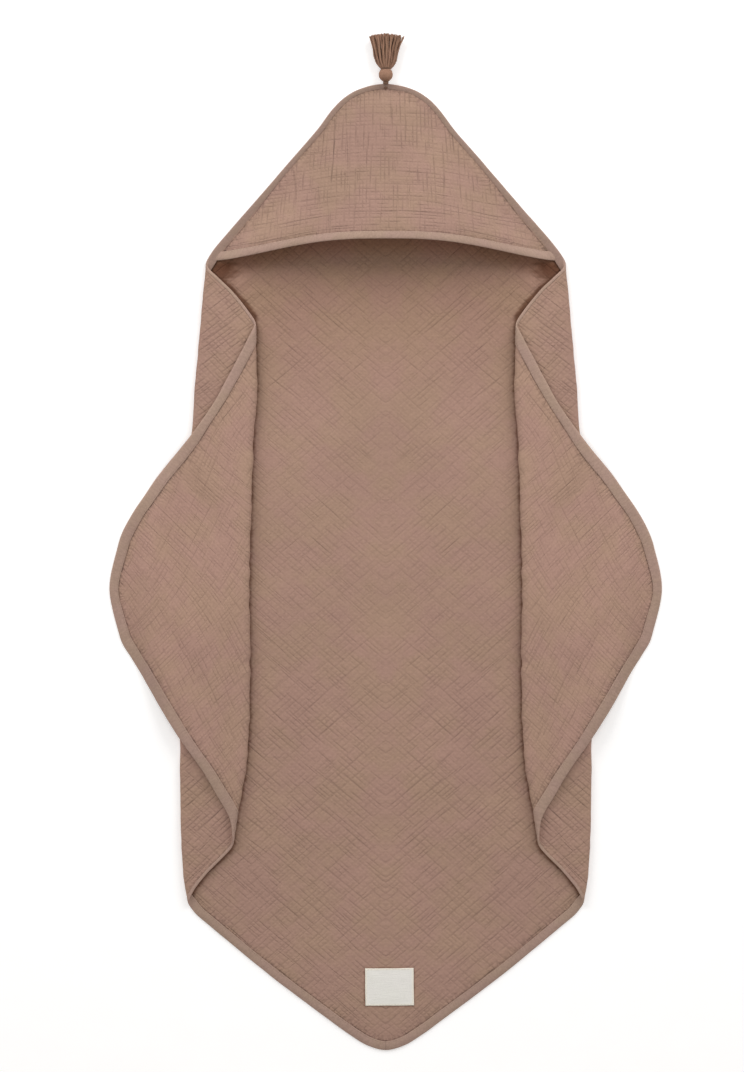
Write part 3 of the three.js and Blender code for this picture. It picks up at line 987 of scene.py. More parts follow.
@shared
def seam_effect():
    """Short gathers that run away from a seam, and the line where the seam presses the cloth in, both as masks
    for painted shade and for bump.
    """
    tree, nodes, given, result = effect(
        "Seam gathers",
        (("Along", "float", 0.0), ("From seam", "float", 0.0), ("Start", "float", SEAM_START),
         ("Reach", "float", 0.009), ("Spacing", "float", 0.0058)),
        (("Gather", "float"), ("Line", "float")),
    )
    along = given["Along"]
    away = nodes.minus(given["From seam"], given["Start"])
    tick = nodes.near(nodes.drawn_noise(along, given["Spacing"], away, 0.02, 1.0), 0.5, 0.0, 0.07)
    length = nodes.noise(nodes.join(nodes.over(along, 0.009), 3.0), detail=1.0)
    reach = nodes.times(given["Reach"], nodes.ramp(length, 0.3, 0.7, 0.35, 1.5))
    near = nodes.ramp(nodes.over(away, reach), 0.0, 1.0, 1.0, 0.0)
    beyond = nodes.math("GREATER_THAN", away, -0.0004)
    nodes.put(result["Gather"], nodes.times(nodes.times(tick, near), beyond))
    waver = nodes.noise(nodes.join(nodes.over(along, 0.011), 8.0), detail=2.0)
    line = nodes.near(away, 0.0003, 0.0, 0.0011)
    nodes.put(result["Line"], nodes.times(line, nodes.ramp(waver, 0.36, 0.62, 0.25, 1.0)))
    return tree


# Matt cotton
SPECULAR = 0.12
SHEEN = 0.05
SHEEN_ROUGHNESS = 0.55


def new_material(name):
    """A material with its Principled shader, set up for matt cotton."""
    material = bpy.data.materials.new(name)
    material.use_nodes = True
    shader = material.node_tree.nodes["Principled BSDF"]
    shader.inputs["Specular IOR Level"].default_value = SPECULAR
    shader.inputs["Sheen Weight"].default_value = SHEEN
    shader.inputs["Sheen Roughness"].default_value = SHEEN_ROUGHNESS
    return material, Nodes(material.node_tree), shader


def finish_cloth(nodes, shader, colour, height, rough):
    nodes.put(shader.inputs["Base Color"], colour)
    bump = nodes.add("Bump", {"Strength": 1.0, "Distance": 1.0, "Height": height})
    nodes.put(shader.inputs["Normal"], bump.outputs["Normal"])
    nodes.put(shader.inputs["Roughness"], rough)


# The muslin's two sets of grooves: bold ones, and fine ones between them. Spacing and depth are shares of the
# cloth's own, width is a share of the spacing, and dark says how much painted shade darkens a groove.
GROOVES = table(("spacing", "length", "width", "depth", "seed", "dark"), (
    (2.1, 0.036, 0.062, 0.70, 1.0, 0.18),
    (0.72, 0.022, 0.20, 0.62, 23.0, 0.21),
))
PRESSED_DEPTH = 0.48
# Painted light: the flaps, the top layer, are made lighter where more light falls on them.
FLAP_PAINTED_LIGHT = (1.07, 1.06, 1.07)

# Painted contact shadow: the deep warm shade painted on the base where one layer of cloth, a corner of the hood
# or the label lies on it
CONTACT_SHADOW_TINT = (0.44, 0.34, 0.29)

# Painted shadow: the hood's warm shade painted on the base in front of its mouth: how far each part of it
# reaches, and its colour
MOUTH_PAINTED_SHADOW = ((0.022, (0.85, 0.72, 0.64)), (0.19, (0.875, 0.845, 0.79)))


@shared
def muslin_material(name, colour, turned, spacing, line_shade):
    """Crinkled muslin. Turned cloth has its threads along the flat cut's axes, other cloth at 45 degrees to
    them, with calmer grooves at the middle line."""
    depth = bpy.context.scene.towel_muslin.groove
    material, nodes, shader = new_material(name)
    cut = nodes.cut()
    x, y, _ = nodes.split(cut)
    along, from_seam, _ = nodes.attribute("seam")
    lean, seam_shown, gap = nodes.attribute("lay")
    lit_flap, ahead, grooved = nodes.attribute("shade")
    threads = cut if turned else nodes.bias(cut)
    crinkles = [
        nodes.group(crinkle_effect(), Vector=threads, Lean=lean, Spacing=spacing * row["spacing"],
                    Length=row["length"], Width=row["width"], Depth=depth * row["depth"], Seed=row["seed"])
        for row in GROOVES
    ]
    weave = nodes.group(thread_effect(), Vector=threads, Pitch=0.0009, Depth=0.00003)
    gathers = nodes.group(seam_effect(), Along=along, From_seam=from_seam)
    line, ticks = (nodes.times(gathers[name], seam_shown) for name in ("Line", "Gather"))
    calm = 1.0 if turned else nodes.ramp(x, 0.0, 0.022, 0.7, 1.0)
    shown = nodes.times(calm, grooved)
    dyed = nodes.group(dye_effect(), Vector=cut, Colour=(*colour, 1), Amount=1.0)["Colour"]
    # Painted shade darkens the grooves, the seam's gathers and its line; the slubs darken the dye itself.
    dyed = nodes.darken(
        dyed,
        *((nodes.times(crinkle["Groove"], shown), row["dark"]) for crinkle, row in zip(crinkles, GROOVES)),
        (ticks, 0.20),
        (line, line_shade),
        (weave["Slub"], 0.05),
    )
    # Painted contact shadow on the base near what covers it, broken up unevenly
    uneven = nodes.drawn_noise(x, 0.011, y, 0.0055, 4.0, detail=2.0)
    painted_contact_shadow = nodes.ramp(nodes.plus(gap, nodes.times(uneven, 0.0060)), 0.0014, 0.0070, 1.0, 0.0)
    dyed = nodes.tint(dyed, painted_contact_shadow, CONTACT_SHADOW_TINT)
    dyed = nodes.tint(dyed, lit_flap, FLAP_PAINTED_LIGHT)
    # Painted shadow of the hood on the base in front of its mouth
    for reach, by in MOUTH_PAINTED_SHADOW:
        dyed = nodes.tint(dyed, nodes.ramp(ahead, 0.0, reach, 1.0, 0.0), by)
    height = nodes.times(nodes.plus(*(crinkle["Height"] for crinkle in crinkles)), shown)
    height = nodes.plus(height, weave["Height"])
    height = nodes.minus(height, nodes.times(nodes.plus(ticks, line), depth * PRESSED_DEPTH))
    finish_cloth(nodes, shader, dyed, height, nodes.ramp(crinkles[0]["Groove"], 0.0, 1.0, 0.90, 0.98))
    return material


@shared
def tape_material():
    """Plain bias tape. Its map runs round its section and along its length."""
    settings = bpy.context.scene.towel_binding
    material, nodes, shader = new_material("bias_tape")
    cut = nodes.cut()
    x, y, _ = nodes.split(cut)
    beside, back, join_at = nodes.attribute("shade")
    weave = nodes.group(thread_effect(), Vector=nodes.bias(cut), Pitch=0.0006, Depth=0.00002)
    wrinkle = nodes.drawn_noise(x, 0.006, y, 0.0035, 5.0, detail=2.0)
    inside = nodes.ramp(nodes.math("ABSOLUTE", nodes.minus(x, TAPE_EDGE)), 0.0006, 0.0026)
    # Painted shade: the tape is darker beside the hood, where it slopes away from the light, and darker away
    # from its folded edge, which leaves a painted highlight along that edge. The join at the tip is a dark line,
    # and the tape on the second layer is lighter.
    dyed = nodes.darken(
        nodes.group(dye_effect(), Vector=cut, Colour=(*settings.colour, 1), Amount=0.8)["Colour"],
        (beside, 0.20),
        (inside, 0.08),
        (nodes.near(y, join_at, 0.0003, 0.0010), 0.22),
        (back, -0.06),
        (nodes.near(wrinkle, 0.5, 0.0, 0.06), 0.08),
        (weave["Slub"], 0.08),
    )
    height = nodes.plus(weave["Height"], nodes.times(wrinkle, 0.0007))
    finish_cloth(nodes, shader, dyed, height, nodes.ramp(wrinkle, 0.3, 0.7, 0.84, 0.94))
    return material


@shared
def thread_material(name, colour):
    """Twisted sewing thread."""
    material, nodes, shader = new_material(name)
    place = nodes.place()
    ply = nodes.noise(place, scale=2600.0, detail=1.0)
    dyed = nodes.group(dye_effect(), Vector=place, Colour=(*colour, 1), Amount=1.0)["Colour"]
    dyed = nodes.darken(dyed, (ply, 0.25))
    finish_cloth(nodes, shader, dyed, nodes.times(ply, 0.00015), nodes.ramp(ply, 0.3, 0.7, 0.7, 0.85))
    return material


@shared
def label_material():
    """Undyed woven label cotton, ribbed across, warmer where its edge is folded."""
    settings = bpy.context.scene.towel_label
    material, nodes, shader = new_material("woven_label")
    cut = nodes.cut()
    x, y, _ = nodes.split(cut)
    weave = nodes.group(thread_effect(), Vector=cut, Pitch=0.00055, Depth=0.00003)
    dyed = nodes.group(dye_effect(), Vector=cut, Colour=(*settings.colour, 1), Amount=0.2)["Colour"]
    rib = nodes.drawn_noise(x, 0.010, y, 0.0008, 1.0)
    from_side, from_end = (
        nodes.minus(size / 2, nodes.math("ABSOLUTE", axis))
        for size, axis in ((settings.width, x), (settings.height, y)))
    border = nodes.ramp(nodes.math("MINIMUM", from_side, from_end), 0.0014, 0.0022, 1.0, 0.0)
    dyed = nodes.mix(border, dyed, nodes.tint(dyed, 1.0, (1.06, 1.02, 0.95)))
    dyed = nodes.darken(dyed, (rib, 0.06), (weave["Slub"], 0.05))
    height = nodes.plus(weave["Height"], nodes.times(rib, 0.0002))
    finish_cloth(nodes, shader, dyed, height, nodes.ramp(rib, 0.3, 0.7, 0.78, 0.9))
    return material


@shared
def yarn_material(name, shade):
    """Twisted cotton yarn. The map runs round each yarn and along it, and each has a tone of its own."""
    # A shade below 1 makes a darker copy of the same yarn: painted shade, slight on the head and deep on the
    # wraps in the neck.
    colour = tuple(channel * shade for channel in bpy.context.scene.towel_tassel.colour)
    material, nodes, shader = new_material(name)
    x, y, _ = nodes.split(nodes.cut())
    tone = nodes.attribute("tone")[0]
    twist = nodes.math("SINE", nodes.plus(nodes.times(x, 2 * math.pi), nodes.times(y, 2400.0)))
    place = nodes.place()
    fuzz = nodes.noise(place, scale=900.0, detail=2.0)
    dyed = nodes.group(dye_effect(), Vector=place, Colour=(*colour, 1), Amount=1.0)["Colour"]
    dyed = nodes.darken(dyed, (tone, 0.34), (fuzz, 0.16), (nodes.ramp(twist, -1.0, 1.0), 0.10))
    height = nodes.plus(nodes.times(twist, 0.00003), nodes.times(fuzz, 0.00012))
    finish_cloth(nodes, shader, dyed, height, nodes.ramp(fuzz, 0.3, 0.7, 0.82, 0.95))
    return material


@shared
def floor_material():
    """A pale studio floor with a faint grain, lit from below as well."""
    material, nodes, shader = new_material("studio_floor")
    grain = nodes.noise(nodes.place(), scale=30.0, detail=2.0)
    shade = nodes.ramp(grain, 0.2, 0.8, 0.93, 0.94)
    finish_cloth(nodes, shader, nodes.join(shade, shade, shade), nodes.times(grain, 0.0001), 0.9)
    shader.inputs["Emission Color"].default_value = (1, 1, 1, 1)
    shader.inputs["Emission Strength"].default_value = FLOOR_GLOW
    return material


# The towel panel

def panel_columns(up):
    """Distances across, in one row of the panel's right half, from the middle line to the edge."""
    outer_axis, _, back_start, back_end, flap_start, _ = turns(up)
    inner = column(FOLDS, "inner", up) + 0.004
    spans = (
        (0, inner, BASE_COLUMNS),
        (inner, outer_axis, HIDDEN_COLUMNS),
        (outer_axis, back_start, TURN_COLUMNS),
        (back_start, back_end, BACK_COLUMNS),
        (back_end, flap_start, TURN_COLUMNS),
        (flap_start, flap_start + FLAP_COLUMNS * PANEL_PITCH, FLAP_COLUMNS),
    )
    found = [0.0]
    for start, end, count in spans:
        found += [lerp(start, end, (k + 1) / count) for k in range(count)]
    reach = reach_at(PANEL_INSET, up)
    return [reach if s > reach - 0.4 * PANEL_PITCH else s for s in found]


def grain_across(across, up):
    """Distance across as the gauze's grain has it: the same on both sides, shallow in the middle and steep on
    the flaps."""
    flap_start = turns(up)[4]
    s = math.hypot(across, MIDDLE_SOFT)
    return BASE_GRAIN * min(s, flap_start) + FLAP_GRAIN * max(s - flap_start, 0)


# The heights between which the second layer's bound edge lies on the first, how far the shade beside it
# spreads, and a distance far from any cover
TUCKED_EDGES = ((0.148, 0.211, 0.0015), (0.757, 0.806, 0.0035))
UNCOVERED = 1.0

# Painted shadow: a dark pocket of shade is painted below each corner of the hood's mouth, and a thin one round
# the label.
POCKET_PLAN = 0.169
POCKET_UP = 0.8035
POCKET_STRETCH = 1.4
POCKET_RADIUS = 0.0085
POCKET_SLOPE = 0.45
LABEL_SHADOW_OFFSET = 0.0012


def cover_at(up):
    """How far from the middle line the folded cloth begins to cover the base, as seen from above."""
    for low, high, spread in TUCKED_EDGES:
        if low <= up <= high:
            return column(EDGE, "edge", up) - spread
    if TUCKED_EDGES[0][1] < up < TUCKED_EDGES[1][0]:
        return column(FOLDS, "inner", up)
    return UNCOVERED


def from_cover(x, up):
    """How far a place on the base lies from what presses on it: a fold, a corner of the hood, or the label. Its
    painted contact shadow is darkest there.
    """
    pocket = math.hypot((abs(x) - POCKET_PLAN) / POCKET_STRETCH, up - POCKET_UP)
    label = bpy.context.scene.towel_label
    beside = max(abs(x - label.across) - label.width / 2, abs(up - label.up) - label.height / 2)
    return min(cover_at(up) - abs(x), POCKET_SLOPE * (pocket - POCKET_RADIUS), beside + LABEL_SHADOW_OFFSET)


def ahead_of_mouth(x, up):
    """How far a place on the base lies in front of the hood's mouth, as seen from above."""
    return MOUTH_UP + MOUTH_ARCH * bell(x / reach_at(HOOD_INSET, MOUTH_UP)) - up


# How much the two turns ripple, and how far from a seam the relief comes up
OUTER_RIPPLE = 0.0004
INNER_RIPPLE = 0.0015
RELIEF_FADE = 0.012


class TOWEL_OT_panel(bpy.types.Operator):
    """Adds the square of crinkled muslin, laid out with its Z folds"""
    bl_idname = "towel.panel"
    bl_label = "Towel panel"

    def execute(self, context):
        settings = context.scene.towel_muslin
        ups, _ = SIDES[PANEL_INSET]
        heights = graded(ups[0], ups[-1], PANEL_PITCH, PANEL_FIRST_ROW)
        rows = [panel_columns(up) for up in heights]
        half = len(rows[0]) - 1

        def relief(across, up, spot, layer):
            if layer == 0:
                ripple = INNER_RIPPLE if abs(across) > turns(up)[3] else OUTER_RIPPLE
                return ripple * streak(up, abs(across), 61.0, 0.012, 0.06)
            rise = settings.pucker * pucker(math.hypot(across, MIDDLE_SOFT), up, 5.0)
            rise += settings.crease * crease_sum(LAYER_CREASES[layer], spot.x, up)
            if layer == 1:
                return max(rise, 0)
            return rise if layer == 3 else -rise

        def place(i, j):
            across = rows[j][abs(i - half)] * (-1 if i < half else 1)
            up = heights[j]
            layer = layer_at(abs(across), up)
            spot, normal = surface_frame(towel_surface, across, up)
            along, away = seam_values(across, up)
            loose = smoothstep((away - PRESSED_WIDTH) / RELIEF_FADE)
            spot += normal * (loose * relief(across, up, spot, layer))
            spot.z = max(spot.z, CLOTH / 2)
            covered, ahead = UNCOVERED, UNCOVERED
            lay = LAY[layer]
            grooved = lay["grooved"]
            # On the base: how far a place lies from what covers it and how far in front of the hood's mouth,
            # which set its painted shadows
            if layer == 1:
                covered = from_cover(spot.x, up)
                ahead = ahead_of_mouth(spot.x, up)
                grooved += ROUGHER * smoothstep((abs(up - SMOOTH_UP) - SMOOTH_HALF) / SMOOTH_FADE)
            return (
                spot,
                (grain_across(across, up), up),
                (along, away, 0),
                (lay["lean"], lay["seam_shown"], covered),
                # The flaps' painted-light mask, the distance in front of the mouth, and how much of the grooves
                # shows
                (1 if layer == 3 else 0, ahead, grooved),
            )

        material = muslin_material("towel_muslin", tuple(settings.towel_colour), False, 0.0062, 0.34)
        piece = muslin_piece("towel_cloth", 2 * half, len(heights) - 1, place, settings.thickness, material,
                             "muslin", "towel_panel")
        return {"FINISHED"}


# The hood's two sets of puckers, each as a seed, a width and a share of the height, and the gathers at its mouth
HOOD_PUCKERS = ((8.0, 0.009, 1.0), (9.0, 0.010, 0.8))
GATHER_HEIGHT = 0.0006
GATHER_REACH = 0.018
MOUTH_TAPE = 0.009


class TOWEL_OT_hood(bpy.types.Operator):
    """Adds the three-cornered piece of muslin that bows up over the towel's top corner"""
    bl_idname = "towel.hood"
    bl_label = "Hood"

    def execute(self, context):
        settings = context.scene.towel_muslin
        heights = graded(MOUTH_UP + PANEL_INSET, HOOD_TOP, HOOD_PITCH, HOOD_FIRST_ROW)

        def relief(x, up, from_seam, from_mouth):
            loose = smoothstep((from_seam + tape_hidden(up) - 0.008) / 0.010)
            loose *= smoothstep((from_mouth - MOUTH_TAPE) / 0.004)
            rise = settings.crease * crease_sum(HOOD_CREASES, x, up)
            for (seed, width, share), (p, q) in zip(HOOD_PUCKERS, ((x, up), (up, x))):
                rise += settings.pucker * share * abs(streak(p, q, seed, width))
            gather = streak(x, up, 12.0, 0.0055, 0.03)
            gather *= smoothstep(1 - (from_mouth - MOUTH_TAPE) / GATHER_REACH)
            return loose * (rise + GATHER_HEIGHT * gather)

        def place(i, j):
            share = 2 * i / HOOD_COLUMNS - 1
            up = heights[j]
            spot, normal = surface_frame(hood_surface, share, up)
            reach = reach_at(HOOD_INSET, up)
            from_mouth = up - MOUTH_UP
            spot += normal * relief(spot.x, up, (1 - abs(share)) * reach, from_mouth)
            fan = 1 + 0.15 * from_mouth / (HOOD_TOP - MOUTH_UP)
            along, away = seam_values(share * reach, up)
            seam, seam_shown = (along, away + tape_hidden(up), 0), 1
            if away >= from_mouth:
                seam, seam_shown = (spot.x, from_mouth, 0), MOUTH_SEAM_SHOWN
            lay = (smoothstep(from_mouth / 0.10), seam_shown, UNCOVERED)
            return spot, (spot.x * fan, up), seam, lay, (0, UNCOVERED, 1)

        material = muslin_material("hood_muslin", tuple(settings.hood_colour), True, 0.0064, 0.45)
        piece = muslin_piece("hood_cloth", HOOD_COLUMNS, len(heights) - 1, place, settings.thickness, material,
                             "hood_muslin", "hood_panel")
        return {"FINISHED"}


# The bindings and their stitches

def tape_wave(along, inward, seed, ripple, height):
    """The unevenness of a tape's upper side."""
    return ripple * noise.noise(Vector((along, seed, inward / 0.006))) if height > 0 else 0


def edge_tape_spot(station, inward, height, ripple):
    """A place on the edge's tape: in from its folded edge and off the middle of its cloth."""
    along, up = station["along"], station["place"].y
    shift = noise.noise(Vector((along / 0.021, 5.3, 0)))
    at = station["place"] + station["inward"] * (inward * tape_shown(up) + ripple * shift)
    spot, normal = surface_frame(towel_surface, at.x, at.y)
    lift = HOOD_TAPE_LIFT * beside_hood(up) if height > 0 else 0
    return spot + normal * (height + lift + tape_wave(along / 0.011, inward, 0.3, ripple, height))


def hood_tape_spot(share, inward, height, ripple):
    """A place on the tape of the hood's free edge."""
    spot, normal = surface_frame(hood_surface, share, MOUTH_UP + inward)
    return spot + normal * (height + tape_wave(share / 0.05, inward, 2.3, ripple, height))


def profile_lengths():
    """Distances round the tape's section to each of its corners."""
    total = [0.0]
    for a, b in zip(TAPE_PROFILE, TAPE_PROFILE[1:] + TAPE_PROFILE[:1]):
        total.append(total[-1] + math.hypot(b["inward"] - a["inward"], b["height"] - a["height"]))
    return total


def add_tape(name, sections, section, node):
    """A tape from section(j), which gives the function that places a row of the profile, the distance along the
    tape and the shades there."""
    corners = len(TAPE_PROFILE)
    lengths = profile_lengths()

    def place(i, j):
        spot_of, along, shade = section(j)
        return spot_of(TAPE_PROFILE[i % corners]), (lengths[i], along), shade

    mesh = laid_grid(corners, sections, place, ("shade",), closed=True)
    new_piece(name, mesh, tape_material(), "binding", node)


class TOWEL_OT_edge_binding(bpy.types.Operator):
    """Adds the bias tape that is folded over the towel's edge all round"""
    bl_idname = "towel.edge_binding"
    bl_label = "Edge binding"

    def execute(self, context):
        ripple = context.scene.towel_binding.ripple
        count = len(STATIONS)

        def section(j):
            station = STATIONS[j % count]
            across, up = station["place"]
            back = 1 if layer_at(abs(across), up) == 2 else 0

            def spot_of(row):
                spot = edge_tape_spot(station, row["inward"], row["height"], ripple)
                spot.z = max(spot.z, 0)
                return spot

            return spot_of, PERIMETER * j / count, (beside_hood(up), back, PERIMETER / 2)

        add_tape("edge_tape", count, section, "edge_binding")
        return {"FINISHED"}


class TOWEL_OT_hood_binding(bpy.types.Operator):
    """Adds the bias tape along the hood's free edge"""
    bl_idname = "towel.hood_binding"
    bl_label = "Hood binding"

    def execute(self, context):
        ripple = context.scene.towel_binding.ripple
        reach = reach_at(HOOD_INSET, MOUTH_UP)

        def section(j):
            share = HOOD_TAPE_REACH * (2 * j / HOOD_TAPE_SECTIONS - 1)
            full = lerp(HOOD_TAPE_END, 1, smoothstep((1 - abs(share)) * reach / HOOD_SEAM_FADE))

            def spot_of(row):
                return hood_tape_spot(share, row["inward"], row["height"] * full, ripple)

            return spot_of, share * reach, (0, 0, UNCOVERED)

        add_tape("hood_tape", HOOD_TAPE_SECTIONS, section, "hood_binding")
        return {"FINISHED"}


def stitch_row(stitches, width):
    """A bmesh of stitches, each a flattened bead of thread from its start to its end, which lies on the cloth
    whose way up is given."""
    rings = STITCH_RINGS + 1

    def place(i, j):
        start, end, up = stitches[j // rings]
        ahead = (end - start).normalized()
        side = up.cross(ahead).normalized()
        up = ahead.cross(side)
        swing = math.pi * (j % rings) / STITCH_RINGS
        turn = 2 * math.pi * (i % STITCH_SIDES) / STITCH_SIDES
        middle = (start + end) / 2 - up * STITCH_SINK
        bulge = width / 2 * math.sin(swing) if j % rings not in (0, STITCH_RINGS) else 0
        spot = middle - ahead * (end - start).length / 2 * math.cos(swing)
        spot += (side * math.cos(turn) + up * STITCH_FLATNESS * math.sin(turn)) * bulge
        return spot, (i / STITCH_SIDES, j / STITCH_RINGS)

    mesh = laid_grid(STITCH_SIDES, len(stitches) * rings - 1, place)
    between = [edge for edge in mesh.edges if edge.is_wire]
    bmesh.ops.delete(mesh, geom=between, context="EDGES")
    bmesh.ops.recalc_face_normals(mesh, faces=mesh.faces)
    return mesh


def tape_top(inward):
    """The tape's height at a distance in from its folded edge, on its upper side."""
    upper = TAPE_PROFILE[:UPPER_ROWS]
    for a, b in zip(upper, upper[1:]):
        if b["inward"] <= inward <= a["inward"]:
            return lerp(b["height"], a["height"], (inward - b["inward"]) / (a["inward"] - b["inward"]))
    raise ValueError("no tape that far in")


class TOWEL_OT_stitching(bpy.types.Operator):
    """Adds the rows of stitches along the inner side of both tapes"""
    bl_idname = "towel.stitching"
    bl_label = "Stitching"

    def execute(self, context):
        settings = context.scene.towel_binding
        height = tape_top(STITCH_INWARD)
        mesh = stitch_row(self.edge_row(settings, height) + self.mouth_row(settings, height),
                          settings.thread_width)
        material = thread_material("sewing_thread", tuple(settings.thread_colour))
        new_piece("tape_stitches", mesh, material, "binding")
        return {"FINISHED"}

    def edge_row(self, settings, height):
        def on_edge(along):
            station = STATIONS[round(along / PERIMETER * len(STATIONS)) % len(STATIONS)]
            at = station["place"] + station["inward"] * STITCH_INWARD
            spot = edge_tape_spot(station, STITCH_INWARD, height, settings.ripple)
            return spot, surface_frame(towel_surface, at.x, at.y)[1]

        count = round(PERIMETER / settings.stitch_pitch)
        row = []
        for along in (PERIMETER * k / count for k in range(count)):
            start, up = on_edge(along)
            row.append((start, on_edge(along + settings.stitch_length)[0], up))
        return row

    def mouth_row(self, settings, height):
        reach = reach_at(HOOD_INSET, MOUTH_UP)
        count = round(2 * reach * HOOD_TAPE_REACH / settings.stitch_pitch)
        row = []
        for k in range(END_STITCHES, count - END_STITCHES):
            share = HOOD_TAPE_REACH * (2 * k / count - 1)
            start, end = (
                hood_tape_spot(at, STITCH_INWARD, height, settings.ripple)
                for at in (share, share + settings.stitch_length / reach))
            row.append((start, end, surface_frame(hood_surface, share, MOUTH_UP + STITCH_INWARD)[1]))
        return row


# The label

def label_point(settings, x, y, z):
    """A place on the label, from its own middle and off the muslin below it."""
    turned = Matrix.Rotation(settings.tilt, 3, "Z") @ Vector((x, y, 0))
    return Vector((settings.across + turned.x, TIP_Y + settings.up + turned.y, CLOTH + z))


class TOWEL_OT_label(bpy.types.Operator):
    """Adds the small bare woven label near the lower tip, and its stitches"""
    bl_idname = "towel.label"
    bl_label = "Label"

    def execute(self, context):
        settings = context.scene.towel_label
        wide, tall = settings.width / 2, settings.height / 2

        def place(i, j):
            x = lerp(-wide, wide, i / LABEL_COLUMNS)
            y = lerp(-tall, tall, j / LABEL_ROWS)
            inside = min(wide - abs(x), tall - abs(y))
            hem = LABEL_HEM_RISE * (1 - smoothstep((wide - abs(x) - LABEL_HEM) / 0.0005))
            puff = LABEL_PUFF * smoothstep((inside - 0.001) / 0.010)
            wave = 0.00010 * noise.noise(Vector((x / 0.012, y / 0.009, 3.0)))
            bow = 0.0003 * noise.noise(Vector((x / 0.016, y / 0.016, 7.0))) * (1 - smoothstep(inside / 0.002))
            height = LABEL_LIFT + LABEL_THICKNESS / 2 + hem + puff + wave
            return label_point(settings, x + bow, y + bow, height), (x, y)

        mesh = laid_grid(LABEL_COLUMNS, LABEL_ROWS, place)
        weights = [1.0] * len(mesh.verts)
        piece = new_piece("sewn_label", mesh, label_material(), "label_cotton", "label")
        give_thickness(piece, LABEL_THICKNESS, weights)
        stitches = self.add_stitches(settings, context.scene.towel_binding)
        return {"FINISHED"}

    def add_stitches(self, settings, thread):
        x_in = settings.width / 2 - LABEL_STITCH_INSET
        y_in = settings.height / 2 - LABEL_STITCH_INSET
        corners = ((-x_in, -y_in), (x_in, -y_in), (x_in, y_in), (-x_in, y_in))
        height = LABEL_LIFT + LABEL_THICKNESS + LABEL_HEM_RISE
        rows = []
        for (ax, ay), (bx, by) in zip(corners, corners[1:] + corners[:1]):
            run = math.hypot(bx - ax, by - ay)
            count = round(run / thread.stitch_pitch)
            for n in range(count):
                first = n / count
                last = first + thread.stitch_length / run * LABEL_STITCH_SHARE
                start, end = (
                    label_point(settings, lerp(ax, bx, share), lerp(ay, by, share), height)
                    for share in (first, last))
                rows.append((start, end, Vector((0, 0, 1))))
        mesh = stitch_row(rows, thread.thread_width)
        return new_piece(
            "label_stitches", mesh, thread_material("label_thread", tuple(settings.colour)), "label_cotton")


# The tassel

def skirt_at(name, along):
    """A column of the skirt's table at a distance from the collar."""
    if along >= SKIRT[-1]["along"]:
        return SKIRT[-1][name]
    i = next(k for k, row in enumerate(SKIRT) if row["along"] > along)
    if i == 0:
        return SKIRT[0][name]
    a, b = SKIRT[i - 1], SKIRT[i]
    return lerp(a[name], b[name], (along - a["along"]) / (b["along"] - a["along"]))


def lock_lines(settings, chance):
    """The middle line of each lock in the skirt, from inside the head to its cut end."""
    lines = []
    for k in range(settings.locks):
        spread = math.sqrt((k + 0.5) / settings.locks) * LOCK_SPREAD
        angle = k * GOLDEN_ANGLE
        length = SKIRT[-1]["along"] - 0.0032 * spread ** 2 - 0.0008 * chance.random()
        phase = chance.uniform(0, 2 * math.pi)
        sway = chance.uniform(0.0002, 0.0009)
        points = []
        for n in range(YARN_STEPS + 1):
            along = length * n / YARN_STEPS
            bend = sway * math.sin(phase + 130 * along) * smoothstep(along / 0.02)
            points.append(Vector((
                skirt_at("half_width", along) * spread * math.cos(angle) + bend,
                TIP_Y + COLLAR_UP - SKIRT_ROOT + along,
                TASSEL_Z + skirt_at("half_height", along) * spread * math.sin(angle),
            )))
        lines.append(points)
    return lines


